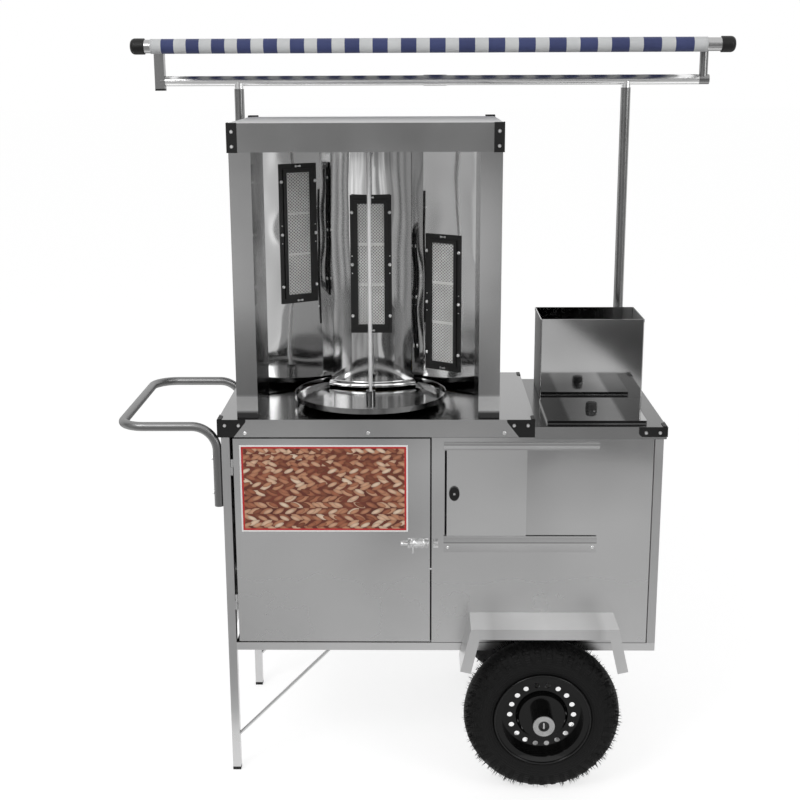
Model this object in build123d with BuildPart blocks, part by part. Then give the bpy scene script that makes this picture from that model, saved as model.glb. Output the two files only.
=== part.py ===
import os
from math import asin, cos, hypot, radians, sin

from build123d import *

os.makedirs("parts", exist_ok=True)

# Gyro cart, in millimetres. X runs along the cart, Y away from the customer, Z up from the ground.

# Clearances and the sheet metal
touch_gap = 0.3
slide_gap = 0.5
shaft_gap = 0.05
sheet = 1.5
edge_round = 3

# Cabinet frame of square tube
tube = 20
tube_wall = 1.5
cabinet_left = -486
cabinet_front = -335
cabinet_depth = 500
counter_height = 900
counter_sheet = 2
rail_bottom = 328
plug_height = 8
brace_radius = 4
brace_foot = 97
lug_plate = 5

# Counter, bin and well
overhang = 3
side_overhang = 6
counter_lip = 30
well_margin = 32
well_setback = 26
well_width = 237
well_length = 230
well_flange = 10
well_depth = 60
lid_rise = 5
slot_width = 25
slot_length = 42
bin_margin = 36
bin_gap = 31
bin_width = 262
bin_length = 181
bin_height = 205
bin_hem = 1
bin_hem_height = 8

# Cooker base and housing
base_length = 752
counter_run = 312
base_rise = 20
base_skirt = 23
rib_width = 20
rib_inset = 80
cooker_left_margin = 46
cooker_right_margin = 84
cooker_height = 688
cooker_depth = 424
cooker_setback = 6
spit_setback = 179
fascia_height = 65
pillar_face = 50
wall_depth = 243
reflector_depth = 106
reflector_gap = 3
centre_half = 101
centre_radius = 190
centre_bulge = 62
apron_rise = 34
lip_rise = 10.5
lip_reach = 11
apron_angle = 34

# Burners
burner_width = 104
burner_height = 349
burner_flange = 3
burner_lip = 4
burner_lip_width = 9
burner_box_depth = 45
burner_step = 2
plate_width = 67
plate_height = 102
plate_thick = 10
burner_rises = (404, 327, 227)

# Gas line
manifold_setback = 25
manifold_rise = 37
manifold_radius = 8
feed_radius = 5
valve_radius = 11
stem_radius = 4
stem_room = 1
knob_radius = 18
knob_depth = 18
knob_base = 6
knob_grip = 9
knob_cap = 2

# Spit and drip pan
rod_radius = 5.2
pin_radius = 3.5
pin_length = 18
pin_socket = 8
rod_clear = 6.5
bearing_radius = 30
bearing_height = 3
bearing_pin_radius = 6
bearing_pin_height = 13
pan_radius = 188
pan_depth = 23
pan_slope = 20
pan_knee = 10
pan_hub_radius = 12
bush_radius = 13
bush_height = 26

# Door, hinges, sign and bolt
door_width = 470
door_gap = 4
door_head_gap = 7
door_return = 15
knuckle_radius = 3
hinge_half = 20
hinge_low = 103
hinge_high = 71
hinge_leaf = 12
sign_width = 402
sign_height = 217
sign_side = 15
sign_drop = 16
sign_thick = 1
bolt_rise = 257
bolt_radius = 3.5
bolt_travel = 22
bolt_stand = 6
bolt_length = 67
guide_edge = 2
grip_room = 4.5
bolt_plate_height = 26
bolt_edge = 4
bolt_roof = 2
guide_width = 6
guide_height = 16
grip_length = 24
grip_radius = 2.5
keeper_width = 12

# Fixed front panel and sliding door
panel_gap = 3
panel_low_gap = 2
panel_head_gap = 4
panel_flange = 13
slider_left_margin = 36
slider_drop = 28
slider_width = 191
slider_height = 228
slider_travel = 160
slider_lap = 8
slider_reveal = 5
rail_end = 7
rail_stop = 11
rail_cover = 6
rail_back = 12
rail_foot = 10
rail_skirt = 26
groove = 4
lock_inset = 18
lock_width = 25
lock_height = 34
lock_depth = 6
lock_base = 1
plug_radius = 6
key_width = 1.5
key_length = 7
key_depth = 3

# Wheels, axle and fenders
wheel_radius = 190
axle_inset = 281
axle_radius = 10
wheel_offset = 55
hub_reach = 125
hub_radius = 26
washer_thick = 5
axle_recess = 3
rim_radius = 118
rim_seat = 101.7
rim_half = 40
rim_sheet = 2
rim_barrel = 3
lip_radius = 2.5
disc_sheet = 3
disc_offset = 14
disc_flat = 64
disc_rise = 12
disc_step = 8
vent_count = 18
vent_ring = 78
vent_radius = 6.5
tread_drop = 18
sidewall_radius = 60
fender_clear = 49
fender_half = 176
fender_splay = 25
fender_drop = 108
fender_reach = 105
fender_lip = 26

# Corner brackets and pan-head screws
bracket = 2
bracket_width = 66
bracket_side = 50
bracket_cut_width = 29
bracket_cut_height = 37
counter_bracket_height = 24
counter_bracket_cut = 7
hood_bracket_width = 22
hood_bracket_side = 26
hood_bracket_lap = 1
hood_bracket_rise = 4
bracket_screw_drop = 14
hood_screw_drops = (19, 52)
hood_screw_inset = 10
skirt_screw_rise = 10
skirt_screw_inset = 72
screw_radius = 4.5
screw_head = 2.5
screw_taper = 25

# Push handle
handle_radius = 11
handle_wall = 1.5
handle_reach = 256
handle_length = 198
handle_bend = 60
handle_bolt_rises = (35, 121)
handle_bolt_radius = 3
handle_bolt_head = 4
handle_bolt_flats = 6

# Canopy
post_radius = 12.7
post_wall = 1.5
post_left_inset = 2
post_right_inset = 42
post_length = 278
clamp_drops = (243, 63)
clamp_width = 36
clamp_height = 30
clamp_wall = 5
pipe_rise = 89
pipe_join_reach = 512
sleeve_length = 60
riser_left_reach = 205
riser_right_reach = 199.4
riser_side = 25
riser_radius = 11
pipe_over = 14.6
riser_tail = 19
riser_plug = 5
canopy_rise = 88
canopy_half = 263.5
canopy_fall = 9.6
hem_radius = 16
bar_gap = 2
elbow_radius = 19
elbow_socket = 38
elbow_collar = 15
elbow_wall = 3
elbow_round = 12
tube_inset = 9
canvas_left_gap = 30
canvas_right_gap = 48.4
canvas_thick = 1.2

# Places that follow from the sizes
cabinet_length = base_length + counter_run - 2 * side_overhang
cabinet_right = cabinet_left + cabinet_length
cabinet_rear = cabinet_front + cabinet_depth
cabinet_middle_x = (cabinet_left + cabinet_right) / 2
cabinet_middle_y = (cabinet_front + cabinet_rear) / 2
front_face = cabinet_front - sheet
rear_face = cabinet_rear + sheet
front_inner = cabinet_front + tube
leg_inner = cabinet_left + tube
post_inner = cabinet_right - tube
rail_top = rail_bottom + tube
frame_top = counter_height - counter_sheet
frame_under = frame_top - tube
bore = tube - 2 * tube_wall
counter_front = cabinet_front - overhang
counter_rear = cabinet_rear + overhang
counter_right = cabinet_right + side_overhang
base_left = cabinet_left - side_overhang
split_x = base_left + base_length
base_top = frame_top + base_rise
base_bottom = frame_top - base_skirt
cooker_half = (base_length - cooker_left_margin - cooker_right_margin) / 2
spit_x = base_left + cooker_left_margin + cooker_half
cooker_left = spit_x - cooker_half
cooker_right = spit_x + cooker_half
cooker_front = cabinet_front + cooker_setback
cooker_rear = cooker_front + cooker_depth
cooker_top = base_top + cooker_height
panel_top = cooker_top - sheet
spit_y = cooker_front + spit_setback


def box_between(low, high):
    """A box from its lowest corner to its highest one."""
    centre = [(a + b) / 2 for a, b in zip(low, high)]
    size = [b - a for a, b in zip(low, high)]
    with BuildPart(Plane(tuple(centre)), mode=Mode.PRIVATE) as block:
        Box(*size)
    return block.part


def rod_between(start, end, radius, wall=0):
    """A round bar or tube between two points."""
    way = Vector(*end) - Vector(*start)
    with BuildPart(mode=Mode.PRIVATE) as rod:
        with BuildSketch(Plane(start, z_dir=way)):
            Circle(radius)
            if wall:
                Circle(radius - wall, mode=Mode.SUBTRACT)
        extrude(amount=way.length)
    return rod.part


def strip_outline(points, thick):
    """Corner points of a bent strip of one thickness, from its seen side."""
    backs = []
    for index, (x, y) in enumerate(points):
        before = points[max(index - 1, 0)]
        after = points[min(index + 1, len(points) - 1)]
        turns = []
        for a, b in ((before, (x, y)), ((x, y), after)):
            run = hypot(b[0] - a[0], b[1] - a[1])
            if run:
                turns.append((-(b[1] - a[1]) / run, (b[0] - a[0]) / run))
        nx = sum(t[0] for t in turns) / len(turns)
        ny = sum(t[1] for t in turns) / len(turns)
        scale = thick / (nx * nx + ny * ny)
        backs.append((x + nx * scale, y + ny * scale))
    return points + backs[::-1]


def mirror_y(value):
    """The same place on the other side of the cabinet."""
    return 2 * cabinet_middle_y - value


def keep(name, part):
    """Names a sub-part and writes it."""
    part.label = name
    export_step(part, f"parts/{name}.step")


# Legs, posts and the two welded frames, all of square tube
handle_height = frame_top
handle_foot = handle_height - handle_length
handle_x = cabinet_left - handle_radius
handle_bolt_heights = [handle_foot + rise for rise in handle_bolt_rises]
leg_places = [(cabinet_left + tube / 2, y) for y in (cabinet_front + tube / 2, cabinet_rear - tube / 2)]
post_places = [(cabinet_right - tube / 2, y) for y in (cabinet_front + tube / 2, cabinet_rear - tube / 2)]

for name, (leg_x, leg_y) in zip(("leg_front_left", "leg_rear_left"), leg_places):
    with BuildPart() as leg:
        with BuildSketch(Plane((leg_x, leg_y, plug_height))):
            Rectangle(tube, tube)
            Rectangle(bore, bore, mode=Mode.SUBTRACT)
        extrude(amount=frame_under - plug_height)
        for height in handle_bolt_heights:
            add(rod_between((cabinet_left - tube, leg_y, height), (leg_x, leg_y, height),
                            handle_bolt_radius + shaft_gap), mode=Mode.SUBTRACT)
    keep(name, leg.part)

with BuildPart() as right_posts:
    with BuildSketch(Plane.XY.offset(rail_top)):
        with Locations(*post_places):
            Rectangle(tube, tube)
            Rectangle(bore, bore, mode=Mode.SUBTRACT)
    extrude(amount=frame_under - rail_top)
keep("right_posts", right_posts.part)

axle_x = cabinet_right - axle_inset
cross_rails = (leg_inner + tube / 2, cabinet_right - tube / 2)
with BuildPart() as bottom_frame:
    for size, cut, mode in ((tube, 0, Mode.ADD), (bore, tube_wall, Mode.SUBTRACT)):
        for rail_y in (cabinet_front + tube / 2, cabinet_rear - tube / 2):
            add(box_between((leg_inner, rail_y - size / 2, rail_bottom + cut),
                            (cabinet_right - cut, rail_y + size / 2, rail_top - cut)), mode=mode)
        for rail_x in cross_rails:
            add(box_between((rail_x - size / 2, cabinet_front + tube / 2, rail_bottom + cut),
                            (rail_x + size / 2, cabinet_rear - tube / 2, rail_top - cut)), mode=mode)
    for lug_y in (cabinet_front + tube / 2, cabinet_rear - tube / 2):
        with BuildSketch(Plane((axle_x, lug_y + lug_plate / 2, 0), x_dir=(1, 0, 0), z_dir=(0, -1, 0))):
            with BuildLine():
                Polyline((-2 * tube, rail_bottom), (-tube, wheel_radius - tube),
                         (tube, wheel_radius - tube), (2 * tube, rail_bottom), close=True)
            make_face()
            with Locations((0, wheel_radius)):
                Circle(axle_radius + shaft_gap, mode=Mode.SUBTRACT)
        extrude(amount=lug_plate)
keep("bottom_frame", bottom_frame.part)

with BuildPart() as top_frame:
    for width, cut, mode in ((tube, 0, Mode.ADD), (bore, tube_wall, Mode.SUBTRACT)):
        with BuildSketch(Plane((cabinet_middle_x, cabinet_middle_y, frame_under + cut))):
            Rectangle(cabinet_length - tube + width, cabinet_depth - tube + width)
            Rectangle(cabinet_length - tube - width, cabinet_depth - tube - width, mode=Mode.SUBTRACT)
        extrude(amount=tube - 2 * cut, mode=mode)
    with BuildSketch(Plane.XY.offset(frame_under)):
        with Locations(*leg_places, *post_places):
            Rectangle(bore, bore)
    extrude(amount=tube / 2, mode=Mode.SUBTRACT)
keep("top_frame", top_frame.part)

brace_run = rail_bottom - brace_foot
with BuildPart() as leg_braces:
    for leg_x, brace_y in leg_places:
        add(rod_between((leg_inner - tube / 2, brace_y, brace_foot - tube / 2),
                        (leg_inner + brace_run + tube / 2, brace_y, rail_bottom + tube / 2), brace_radius))
    add(box_between((cabinet_left, cabinet_front, 0), (leg_inner, cabinet_rear, rail_bottom)),
        mode=Mode.SUBTRACT)
    add(box_between((cabinet_left, cabinet_front, rail_bottom), (post_inner, cabinet_rear, rail_top)),
        mode=Mode.SUBTRACT)
keep("leg_braces", leg_braces.part)

# Cupboard panels
panel_bottom = rail_top + panel_low_gap
panel_upper = frame_under - panel_head_gap
with BuildPart() as end_panels:
    with BuildSketch(Plane.XY.offset(rail_top)):
        with Locations((cabinet_left + tube / 4, cabinet_middle_y),
                       (cabinet_right - tube / 4, cabinet_middle_y)):
            Rectangle(sheet, cabinet_depth - 2 * tube)
    extrude(amount=frame_under - rail_top)
keep("end_panels", end_panels.part)

with BuildPart() as rear_panel:
    with BuildSketch(Plane((cabinet_middle_x, cabinet_rear, 0), x_dir=(-1, 0, 0), z_dir=(0, 1, 0))):
        with Locations((0, (panel_bottom + panel_upper) / 2)):
            Rectangle(cabinet_length, panel_upper - panel_bottom)
    extrude(amount=sheet)
keep("rear_panel", rear_panel.part)

floor_left = leg_inner + tube / 2
floor_right = post_inner - sheet
with BuildPart() as floor_panel:
    with BuildSketch(Plane(((floor_left + floor_right) / 2, cabinet_middle_y, rail_top))):
        Rectangle(floor_right - floor_left, cabinet_depth - tube)
    extrude(amount=sheet)
keep("floor_panel", floor_panel.part)

door_left = leg_inner + 2 * door_gap
door_right = door_left + door_width
panel_left = door_right + door_gap
panel_right = post_inner - panel_gap
slider_left = panel_left + slider_left_margin
slider_right = slider_left + slider_width
slider_top = frame_under - slider_drop
slider_bottom = slider_top - slider_height
window_left = slider_left - slider_reveal
window_right = slider_right - slider_lap
with BuildPart() as front_panel:
    with BuildSketch(Plane((0, cabinet_front, 0), x_dir=(1, 0, 0), z_dir=(0, -1, 0))):
        with Locations(((panel_left + panel_right) / 2, (panel_bottom + panel_upper) / 2)):
            Rectangle(panel_right - panel_left, panel_upper - panel_bottom)
        with Locations(((window_left + window_right) / 2, (slider_bottom + slider_top) / 2)):
            Rectangle(window_right - window_left, slider_height - 2 * slider_lap, mode=Mode.SUBTRACT)
    extrude(amount=sheet)
    with BuildSketch(Plane.XY.offset(rail_top + sheet)):
        for edge, flange, way in ((panel_left, tube, -1), (panel_right, panel_flange, 1)):
            with BuildLine():
                Polyline(*strip_outline([(edge, cabinet_front), (edge, front_inner + sheet),
                                         (edge + flange, front_inner + sheet)], way * sheet), close=True)
            make_face()
    extrude(amount=frame_under - rail_top - sheet)
keep("front_panel", front_panel.part)

# Counter with its well, lid and bin
well_left = split_x + well_margin
well_front = cabinet_front + well_setback
well_x = well_left + well_width / 2
well_y = well_front + well_length / 2
cut_width = well_width - 2 * well_flange
cut_length = well_length - 2 * well_flange
counter_length = counter_right - split_x
counter_depth = counter_rear - counter_front
with BuildPart() as counter_top:
    with BuildSketch(Plane((split_x + counter_length / 2, cabinet_middle_y, counter_height))):
        Rectangle(counter_length, counter_depth)
    extrude(amount=-counter_lip)
    with BuildSketch(Plane((split_x + (counter_length - counter_sheet) / 2, cabinet_middle_y, frame_top))):
        Rectangle(counter_length - counter_sheet, counter_depth - 2 * sheet)
    extrude(amount=-counter_lip, mode=Mode.SUBTRACT)
    with BuildSketch(Plane((well_x, well_y, counter_height))):
        Rectangle(cut_width + 2 * touch_gap, cut_length + 2 * touch_gap)
    extrude(amount=-counter_lip, mode=Mode.SUBTRACT)
keep("counter_top", counter_top.part)

with BuildPart() as well_pan:
    with BuildSketch(Plane((well_x, well_y, counter_height))):
        Rectangle(well_width, well_length)
    extrude(amount=sheet)
    with BuildSketch(Plane((well_x, well_y, counter_height))):
        Rectangle(cut_width, cut_length)
    extrude(amount=-well_depth)
    with BuildSketch(Plane((well_x, well_y, counter_height + sheet))):
        Rectangle(cut_width - 2 * sheet, cut_length - 2 * sheet)
    extrude(amount=-well_depth, mode=Mode.SUBTRACT)
keep("well_pan", well_pan.part)

lid_seat = counter_height + sheet
with BuildPart() as well_lid:
    with BuildSketch(Plane((well_x, well_y, lid_seat))):
        RectangleRounded(well_width, well_length, edge_round)
    extrude(amount=lid_rise + sheet)
    offset(amount=-sheet, openings=well_lid.faces().sort_by(Axis.Z)[0])
    with BuildSketch(Plane((well_x, well_y, lid_seat + lid_rise))):
        SlotOverall(slot_length, slot_width, rotation=90)
    extrude(amount=sheet, mode=Mode.SUBTRACT)
keep("well_lid", well_lid.part)

bin_x = split_x + bin_margin + bin_width / 2
bin_y = well_front + well_length + bin_gap + bin_length / 2
with BuildPart() as bin_box:
    with BuildSketch(Plane((bin_x, bin_y, counter_height))):
        RectangleRounded(bin_width, bin_length, edge_round)
    extrude(amount=bin_height)
    offset(amount=-sheet, openings=bin_box.faces().sort_by(Axis.Z)[-1])
    with BuildSketch(Plane((bin_x, bin_y, counter_height + bin_height))):
        RectangleRounded(bin_width + 2 * bin_hem, bin_length + 2 * bin_hem, edge_round + bin_hem)
        RectangleRounded(bin_width - sheet, bin_length - sheet, edge_round, mode=Mode.SUBTRACT)
    extrude(amount=-bin_hem_height)
keep("bin", bin_box.part)

# Cooker base tray, resting on the top frame by its ribs
rib_places = (base_left + rib_inset, spit_x, split_x - rib_inset)
with BuildPart() as cooker_base:
    with BuildSketch(Plane((base_left + base_length / 2, cabinet_middle_y, base_bottom))):
        Rectangle(base_length, counter_depth)
    extrude(amount=base_top - base_bottom)
    offset(amount=-sheet, openings=cooker_base.faces().sort_by(Axis.Z)[0])
    with BuildSketch(Plane((split_x, cabinet_middle_y, base_bottom))):
        Rectangle(4 * sheet, counter_depth - 2 * sheet)
    extrude(amount=base_skirt, mode=Mode.SUBTRACT)
    with BuildSketch(Plane.XY.offset(frame_top)):
        with Locations(*[(rib_x, cabinet_middle_y) for rib_x in rib_places]):
            Rectangle(rib_width, cabinet_depth)
    extrude(amount=base_rise - sheet)
keep("cooker_base", cooker_base.part)

# Cooker pillars, hood and back
wall_half = cooker_half - pillar_face
wall_end = cooker_front + wall_depth
for name, side in (("pillar_left", -1), ("pillar_right", 1)):
    profile = strip_outline([(spit_x + side * cooker_half, cooker_rear),
                             (spit_x + side * cooker_half, cooker_front),
                             (spit_x + side * wall_half, cooker_front),
                             (spit_x + side * wall_half, wall_end)], -side * sheet)
    with BuildPart() as pillar:
        with BuildSketch(Plane.XY.offset(base_top)):
            with BuildLine():
                Polyline(*profile, close=True)
            make_face()
        extrude(amount=panel_top - base_top)
    keep(name, pillar.part)

hood_front = cooker_front - sheet
hood_rear = cooker_rear + 2 * sheet
hood_profile = strip_outline([(hood_front, cooker_top - fascia_height), (hood_front, cooker_top),
                              (hood_rear, cooker_top), (hood_rear, cooker_top - tube)], -sheet)
with BuildPart() as cooker_hood:
    with BuildSketch(Plane((cooker_left - sheet, 0, 0), x_dir=(0, 1, 0), z_dir=(1, 0, 0))):
        with BuildLine():
            Polyline(*hood_profile, close=True)
        make_face()
    extrude(amount=2 * cooker_half + 2 * sheet)
keep("cooker_hood", cooker_hood.part)

# Reflectors around the spit, each with a window for its burner
reflector_end = wall_end + reflector_depth
reflector_bottom = base_top + reflector_gap
centre_apex = reflector_end - centre_bulge
panel_start = wall_half + sheet
panel_stop = centre_half + sheet
panel_run = hypot(panel_start - panel_stop, reflector_depth)
panel_dir = ((panel_start - panel_stop) / panel_run, reflector_depth / panel_run)
panel_middle = ((panel_start + panel_stop) / 2, (wall_end + reflector_end) / 2)
burner_planes = []
for side, rise in zip((-1, 0, 1), burner_rises):
    if side:
        burner_planes.append(Plane((spit_x + side * panel_middle[0], panel_middle[1], base_top + rise),
                                   x_dir=(panel_dir[0], -side * panel_dir[1], 0),
                                   z_dir=(-side * panel_dir[1], -panel_dir[0], 0)))
    else:
        burner_planes.append(Plane((spit_x, centre_apex, base_top + rise), x_dir=(1, 0, 0), z_dir=(0, -1, 0)))
box_width = burner_width - 2 * burner_step
box_height = burner_height - 2 * burner_step


def burner_window(plane):
    """The hole in a reflector that a burner box passes through."""
    with BuildPart(mode=Mode.PRIVATE) as window:
        with BuildSketch(plane.offset(-burner_box_depth)):
            Rectangle(box_width + 2 * touch_gap, box_height + 2 * touch_gap)
        extrude(amount=2 * burner_box_depth)
    return window.part


for name, side, plane in (("reflector_left", -1, burner_planes[0]), ("reflector_right", 1, burner_planes[2])):
    profile = strip_outline([(spit_x + side * panel_start, wall_end - tube),
                             (spit_x + side * panel_start, wall_end),
                             (spit_x + side * panel_stop, reflector_end),
                             (spit_x + side * panel_stop, reflector_end + tube)], -side * sheet)
    with BuildPart() as reflector:
        with BuildSketch(Plane.XY.offset(reflector_bottom)):
            with BuildLine():
                Polyline(*profile, close=True)
            make_face()
        extrude(amount=panel_top - reflector_bottom)
        add(burner_window(plane), mode=Mode.SUBTRACT)
    keep(name, reflector.part)

apron_top = base_top + apron_rise
lip_bottom = base_top + lip_rise
lip_turn = lip_bottom + lip_reach + sheet
centre_axis_y = centre_apex + centre_radius
return_end = reflector_end + tube
inner_radius = centre_radius - sheet
with BuildPart() as reflector_centre:
    with BuildSketch(Plane.XY.offset(apron_top)):
        for radius, half, mode in ((centre_radius, centre_half, Mode.ADD),
                                   (inner_radius, centre_half - sheet, Mode.SUBTRACT)):
            side_y = centre_axis_y - (radius ** 2 - half ** 2) ** 0.5
            with BuildLine():
                Line((spit_x - half, return_end), (spit_x - half, side_y))
                ThreePointArc((spit_x - half, side_y), (spit_x, centre_axis_y - radius),
                              (spit_x + half, side_y))
                Line((spit_x + half, side_y), (spit_x + half, return_end))
                Line((spit_x + half, return_end), (spit_x - half, return_end))
            make_face(mode=mode)
    extrude(amount=panel_top - apron_top)
    start_angle = radians(270 - apron_angle)
    with BuildSketch(Plane((spit_x, centre_axis_y, 0), x_dir=(cos(start_angle), sin(start_angle), 0),
                           z_dir=(sin(start_angle), -cos(start_angle), 0))):
        with BuildLine():
            Line((inner_radius, apron_top), (centre_radius, apron_top))
            Line((centre_radius, apron_top), (centre_radius, lip_turn))
            RadiusArc((centre_radius, lip_turn), (centre_radius + lip_reach, lip_bottom + sheet), lip_reach)
            Line((centre_radius + lip_reach, lip_bottom + sheet), (centre_radius + lip_reach, lip_bottom))
            RadiusArc((centre_radius + lip_reach, lip_bottom), (inner_radius, lip_turn), -(lip_reach + sheet))
            Line((inner_radius, lip_turn), (inner_radius, apron_top))
        make_face()
    revolve(axis=Axis((spit_x, centre_axis_y, 0), (0, 0, 1)), revolution_arc=2 * apron_angle)
    add(burner_window(burner_planes[1]), mode=Mode.SUBTRACT)
keep("reflector_centre", reflector_centre.part)

# Burners: a flange with a raised lip and a box behind, with three ceramic plates in the window
plates_height = 3 * plate_height
with BuildPart() as burner_bodies:
    for plane in burner_planes:
        with BuildSketch(plane):
            Rectangle(burner_width, burner_height)
        extrude(amount=burner_flange)
        with BuildSketch(plane):
            Rectangle(plate_width + 2 * burner_lip_width, plates_height + 2 * burner_lip_width)
        extrude(amount=burner_flange + burner_lip)
        with BuildSketch(plane):
            Rectangle(box_width, box_height)
        extrude(amount=-burner_box_depth)
        with BuildSketch(plane.offset(burner_flange + burner_lip)):
            Rectangle(plate_width + 2 * shaft_gap, plates_height + 2 * shaft_gap)
        extrude(amount=-plate_thick - burner_flange - burner_lip, mode=Mode.SUBTRACT)
keep("burner_bodies", burner_bodies.part)

with BuildPart() as burner_plates:
    for plane in burner_planes:
        with BuildSketch(plane.offset(-plate_thick)):
            with GridLocations(plate_width, plate_height, 1, 3):
                Rectangle(plate_width, plate_height - shaft_gap)
        extrude(amount=plate_thick)
keep("burner_plates", burner_plates.part)

# Gas line behind the reflectors, with the valve stems and the inlet through the back sheet
manifold_y = cooker_rear - manifold_setback
manifold_z = base_top + manifold_rise
feeds = []
for plane, rise in zip(burner_planes, burner_rises):
    inside = plane.origin - plane.z_dir * burner_box_depth / 2
    feeds.append((inside.X, inside.Y, base_top + rise - box_height / 2))
inlet_x = (feeds[0][0] + feeds[1][0]) / 2
knob_back = cooker_rear + 2 * sheet
stem_end = knob_back + knob_depth
inlet_end = stem_end + knob_depth
with BuildPart() as cooker_back:
    with BuildSketch(Plane((spit_x, cooker_rear, 0), x_dir=(-1, 0, 0), z_dir=(0, 1, 0))):
        with Locations((0, (base_top + panel_top) / 2)):
            Rectangle(2 * cooker_half, panel_top - base_top)
        hole_places = [feed[0] for feed in feeds] + [inlet_x]
        with Locations(*[(spit_x - hole_x, manifold_z) for hole_x in hole_places]):
            Circle(feed_radius + stem_room, mode=Mode.SUBTRACT)
    extrude(amount=sheet)
keep("cooker_back", cooker_back.part)

with BuildPart() as gas_manifold:
    add(rod_between((feeds[0][0] - tube, manifold_y, manifold_z),
                    (feeds[2][0] + tube, manifold_y, manifold_z), manifold_radius))
    for feed_x, feed_y, box_under in feeds:
        add(rod_between((feed_x, manifold_y, manifold_z), (feed_x, feed_y, manifold_z), feed_radius))
        add(rod_between((feed_x, feed_y, manifold_z - feed_radius), (feed_x, feed_y, box_under), feed_radius))
        add(rod_between((feed_x, manifold_y, manifold_z), (feed_x, cooker_rear, manifold_z), valve_radius))
        add(rod_between((feed_x, cooker_rear, manifold_z), (feed_x, stem_end, manifold_z), stem_radius))
    add(rod_between((inlet_x, manifold_y, manifold_z), (inlet_x, knob_back, manifold_z), feed_radius))
    add(rod_between((inlet_x, knob_back, manifold_z), (inlet_x, inlet_end, manifold_z), stem_radius))
keep("gas_manifold", gas_manifold.part)

for name, feed in zip(("knob_left", "knob_centre", "knob_right"), feeds):
    knob_plane = Plane((feed[0], knob_back, manifold_z), x_dir=(1, 0, 0), z_dir=(0, 1, 0))
    with BuildPart() as knob:
        with BuildSketch(knob_plane):
            Circle(knob_radius)
        extrude(amount=knob_base)
        with BuildSketch(knob_plane):
            SlotOverall(2 * knob_radius - knob_cap, knob_grip)
        extrude(amount=knob_depth + knob_cap)
        with BuildSketch(knob_plane):
            Circle(stem_radius + shaft_gap)
        extrude(amount=knob_depth + slide_gap, mode=Mode.SUBTRACT)
    keep(name, knob.part)

# Spit: bearing on the base, drip pan turning on it, rod up to the bush under the hood
pan_floor = base_top + bearing_height
hub_top = pan_floor + pan_depth
rod_shoulder = hub_top + pin_length
with BuildPart() as spit_bearing:
    with BuildSketch(Plane((spit_x, spit_y, base_top))):
        Circle(bearing_radius)
    extrude(amount=bearing_height)
    with BuildSketch(Plane((spit_x, spit_y, base_top))):
        Circle(bearing_pin_radius)
    extrude(amount=bearing_height + bearing_pin_height)
keep("spit_bearing", spit_bearing.part)

pan_outer = [(pan_hub_radius, 0), (pan_radius - pan_slope, 0), (pan_radius, pan_knee),
             (pan_radius, pan_depth)]
with BuildPart() as drip_pan:
    with BuildSketch(Plane((spit_x, spit_y, pan_floor), x_dir=(1, 0, 0), z_dir=(0, -1, 0))):
        with BuildLine():
            Polyline(*strip_outline(pan_outer, sheet), close=True)
        make_face()
        with BuildLine():
            Polyline((0, 0), (pan_hub_radius, 0), (pan_hub_radius, pan_depth), (0, pan_depth), close=True)
        make_face()
    revolve(axis=Axis((spit_x, spit_y, 0), (0, 0, 1)))
    with BuildSketch(Plane((spit_x, spit_y, pan_floor))):
        Circle(bearing_pin_radius + shaft_gap)
    extrude(amount=bearing_pin_height + slide_gap, mode=Mode.SUBTRACT)
    with BuildSketch(Plane((spit_x, spit_y, hub_top))):
        Circle(pin_radius + shaft_gap)
    extrude(amount=-pin_socket, mode=Mode.SUBTRACT)
keep("drip_pan", drip_pan.part)

with BuildPart() as spit_rod:
    with BuildSketch(Plane((spit_x, spit_y, hub_top - pin_socket))):
        Circle(pin_radius)
    extrude(amount=pin_socket + pin_length)
    with BuildSketch(Plane((spit_x, spit_y, rod_shoulder))):
        Circle(rod_radius)
    extrude(amount=panel_top - rod_clear - rod_shoulder)
keep("spit_rod", spit_rod.part)

with BuildPart() as top_bush:
    with BuildSketch(Plane((spit_x, spit_y, panel_top))):
        Circle(bush_radius)
        Circle(rod_radius + shaft_gap, mode=Mode.SUBTRACT)
    extrude(amount=-bush_height)
keep("top_bush", top_bush.part)

# Hinged door: a folded sheet with the moving hinge knuckles on its left return
door_bottom = rail_top + door_gap
door_top = frame_under - door_head_gap
hinge_x = door_left - door_gap
hinge_heights = (door_bottom + hinge_low, door_top - hinge_high)
pin_size = knuckle_radius / 2
with BuildPart() as door:
    with BuildSketch(Plane(((door_left + door_right) / 2, front_face, (door_bottom + door_top) / 2),
                           x_dir=(1, 0, 0), z_dir=(0, 1, 0))):
        Rectangle(door_width, door_top - door_bottom)
    extrude(amount=door_return + sheet)
    offset(amount=-sheet, openings=door.faces().sort_by(Axis.Y)[-1])
    for height in hinge_heights:
        add(box_between((hinge_x, cabinet_front, height + slide_gap),
                        (door_left, cabinet_front + hinge_leaf, height + hinge_half)))
        add(rod_between((hinge_x, cabinet_front, height + slide_gap),
                        (hinge_x, cabinet_front, height + hinge_half), knuckle_radius))
        add(rod_between((hinge_x, cabinet_front, height), (hinge_x, cabinet_front, height + hinge_half),
                        pin_size + shaft_gap), mode=Mode.SUBTRACT)
keep("door", door.part)

with BuildPart() as hinge_leaves:
    for height in hinge_heights:
        add(box_between((leg_inner, cabinet_front, height - hinge_half),
                        (hinge_x, cabinet_front + hinge_leaf, height)))
        add(rod_between((hinge_x, cabinet_front, height - hinge_half), (hinge_x, cabinet_front, height),
                        knuckle_radius))
        add(rod_between((hinge_x, cabinet_front, height), (hinge_x, cabinet_front, height + hinge_half),
                        pin_size))
keep("hinge_leaves", hinge_leaves.part)

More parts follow.
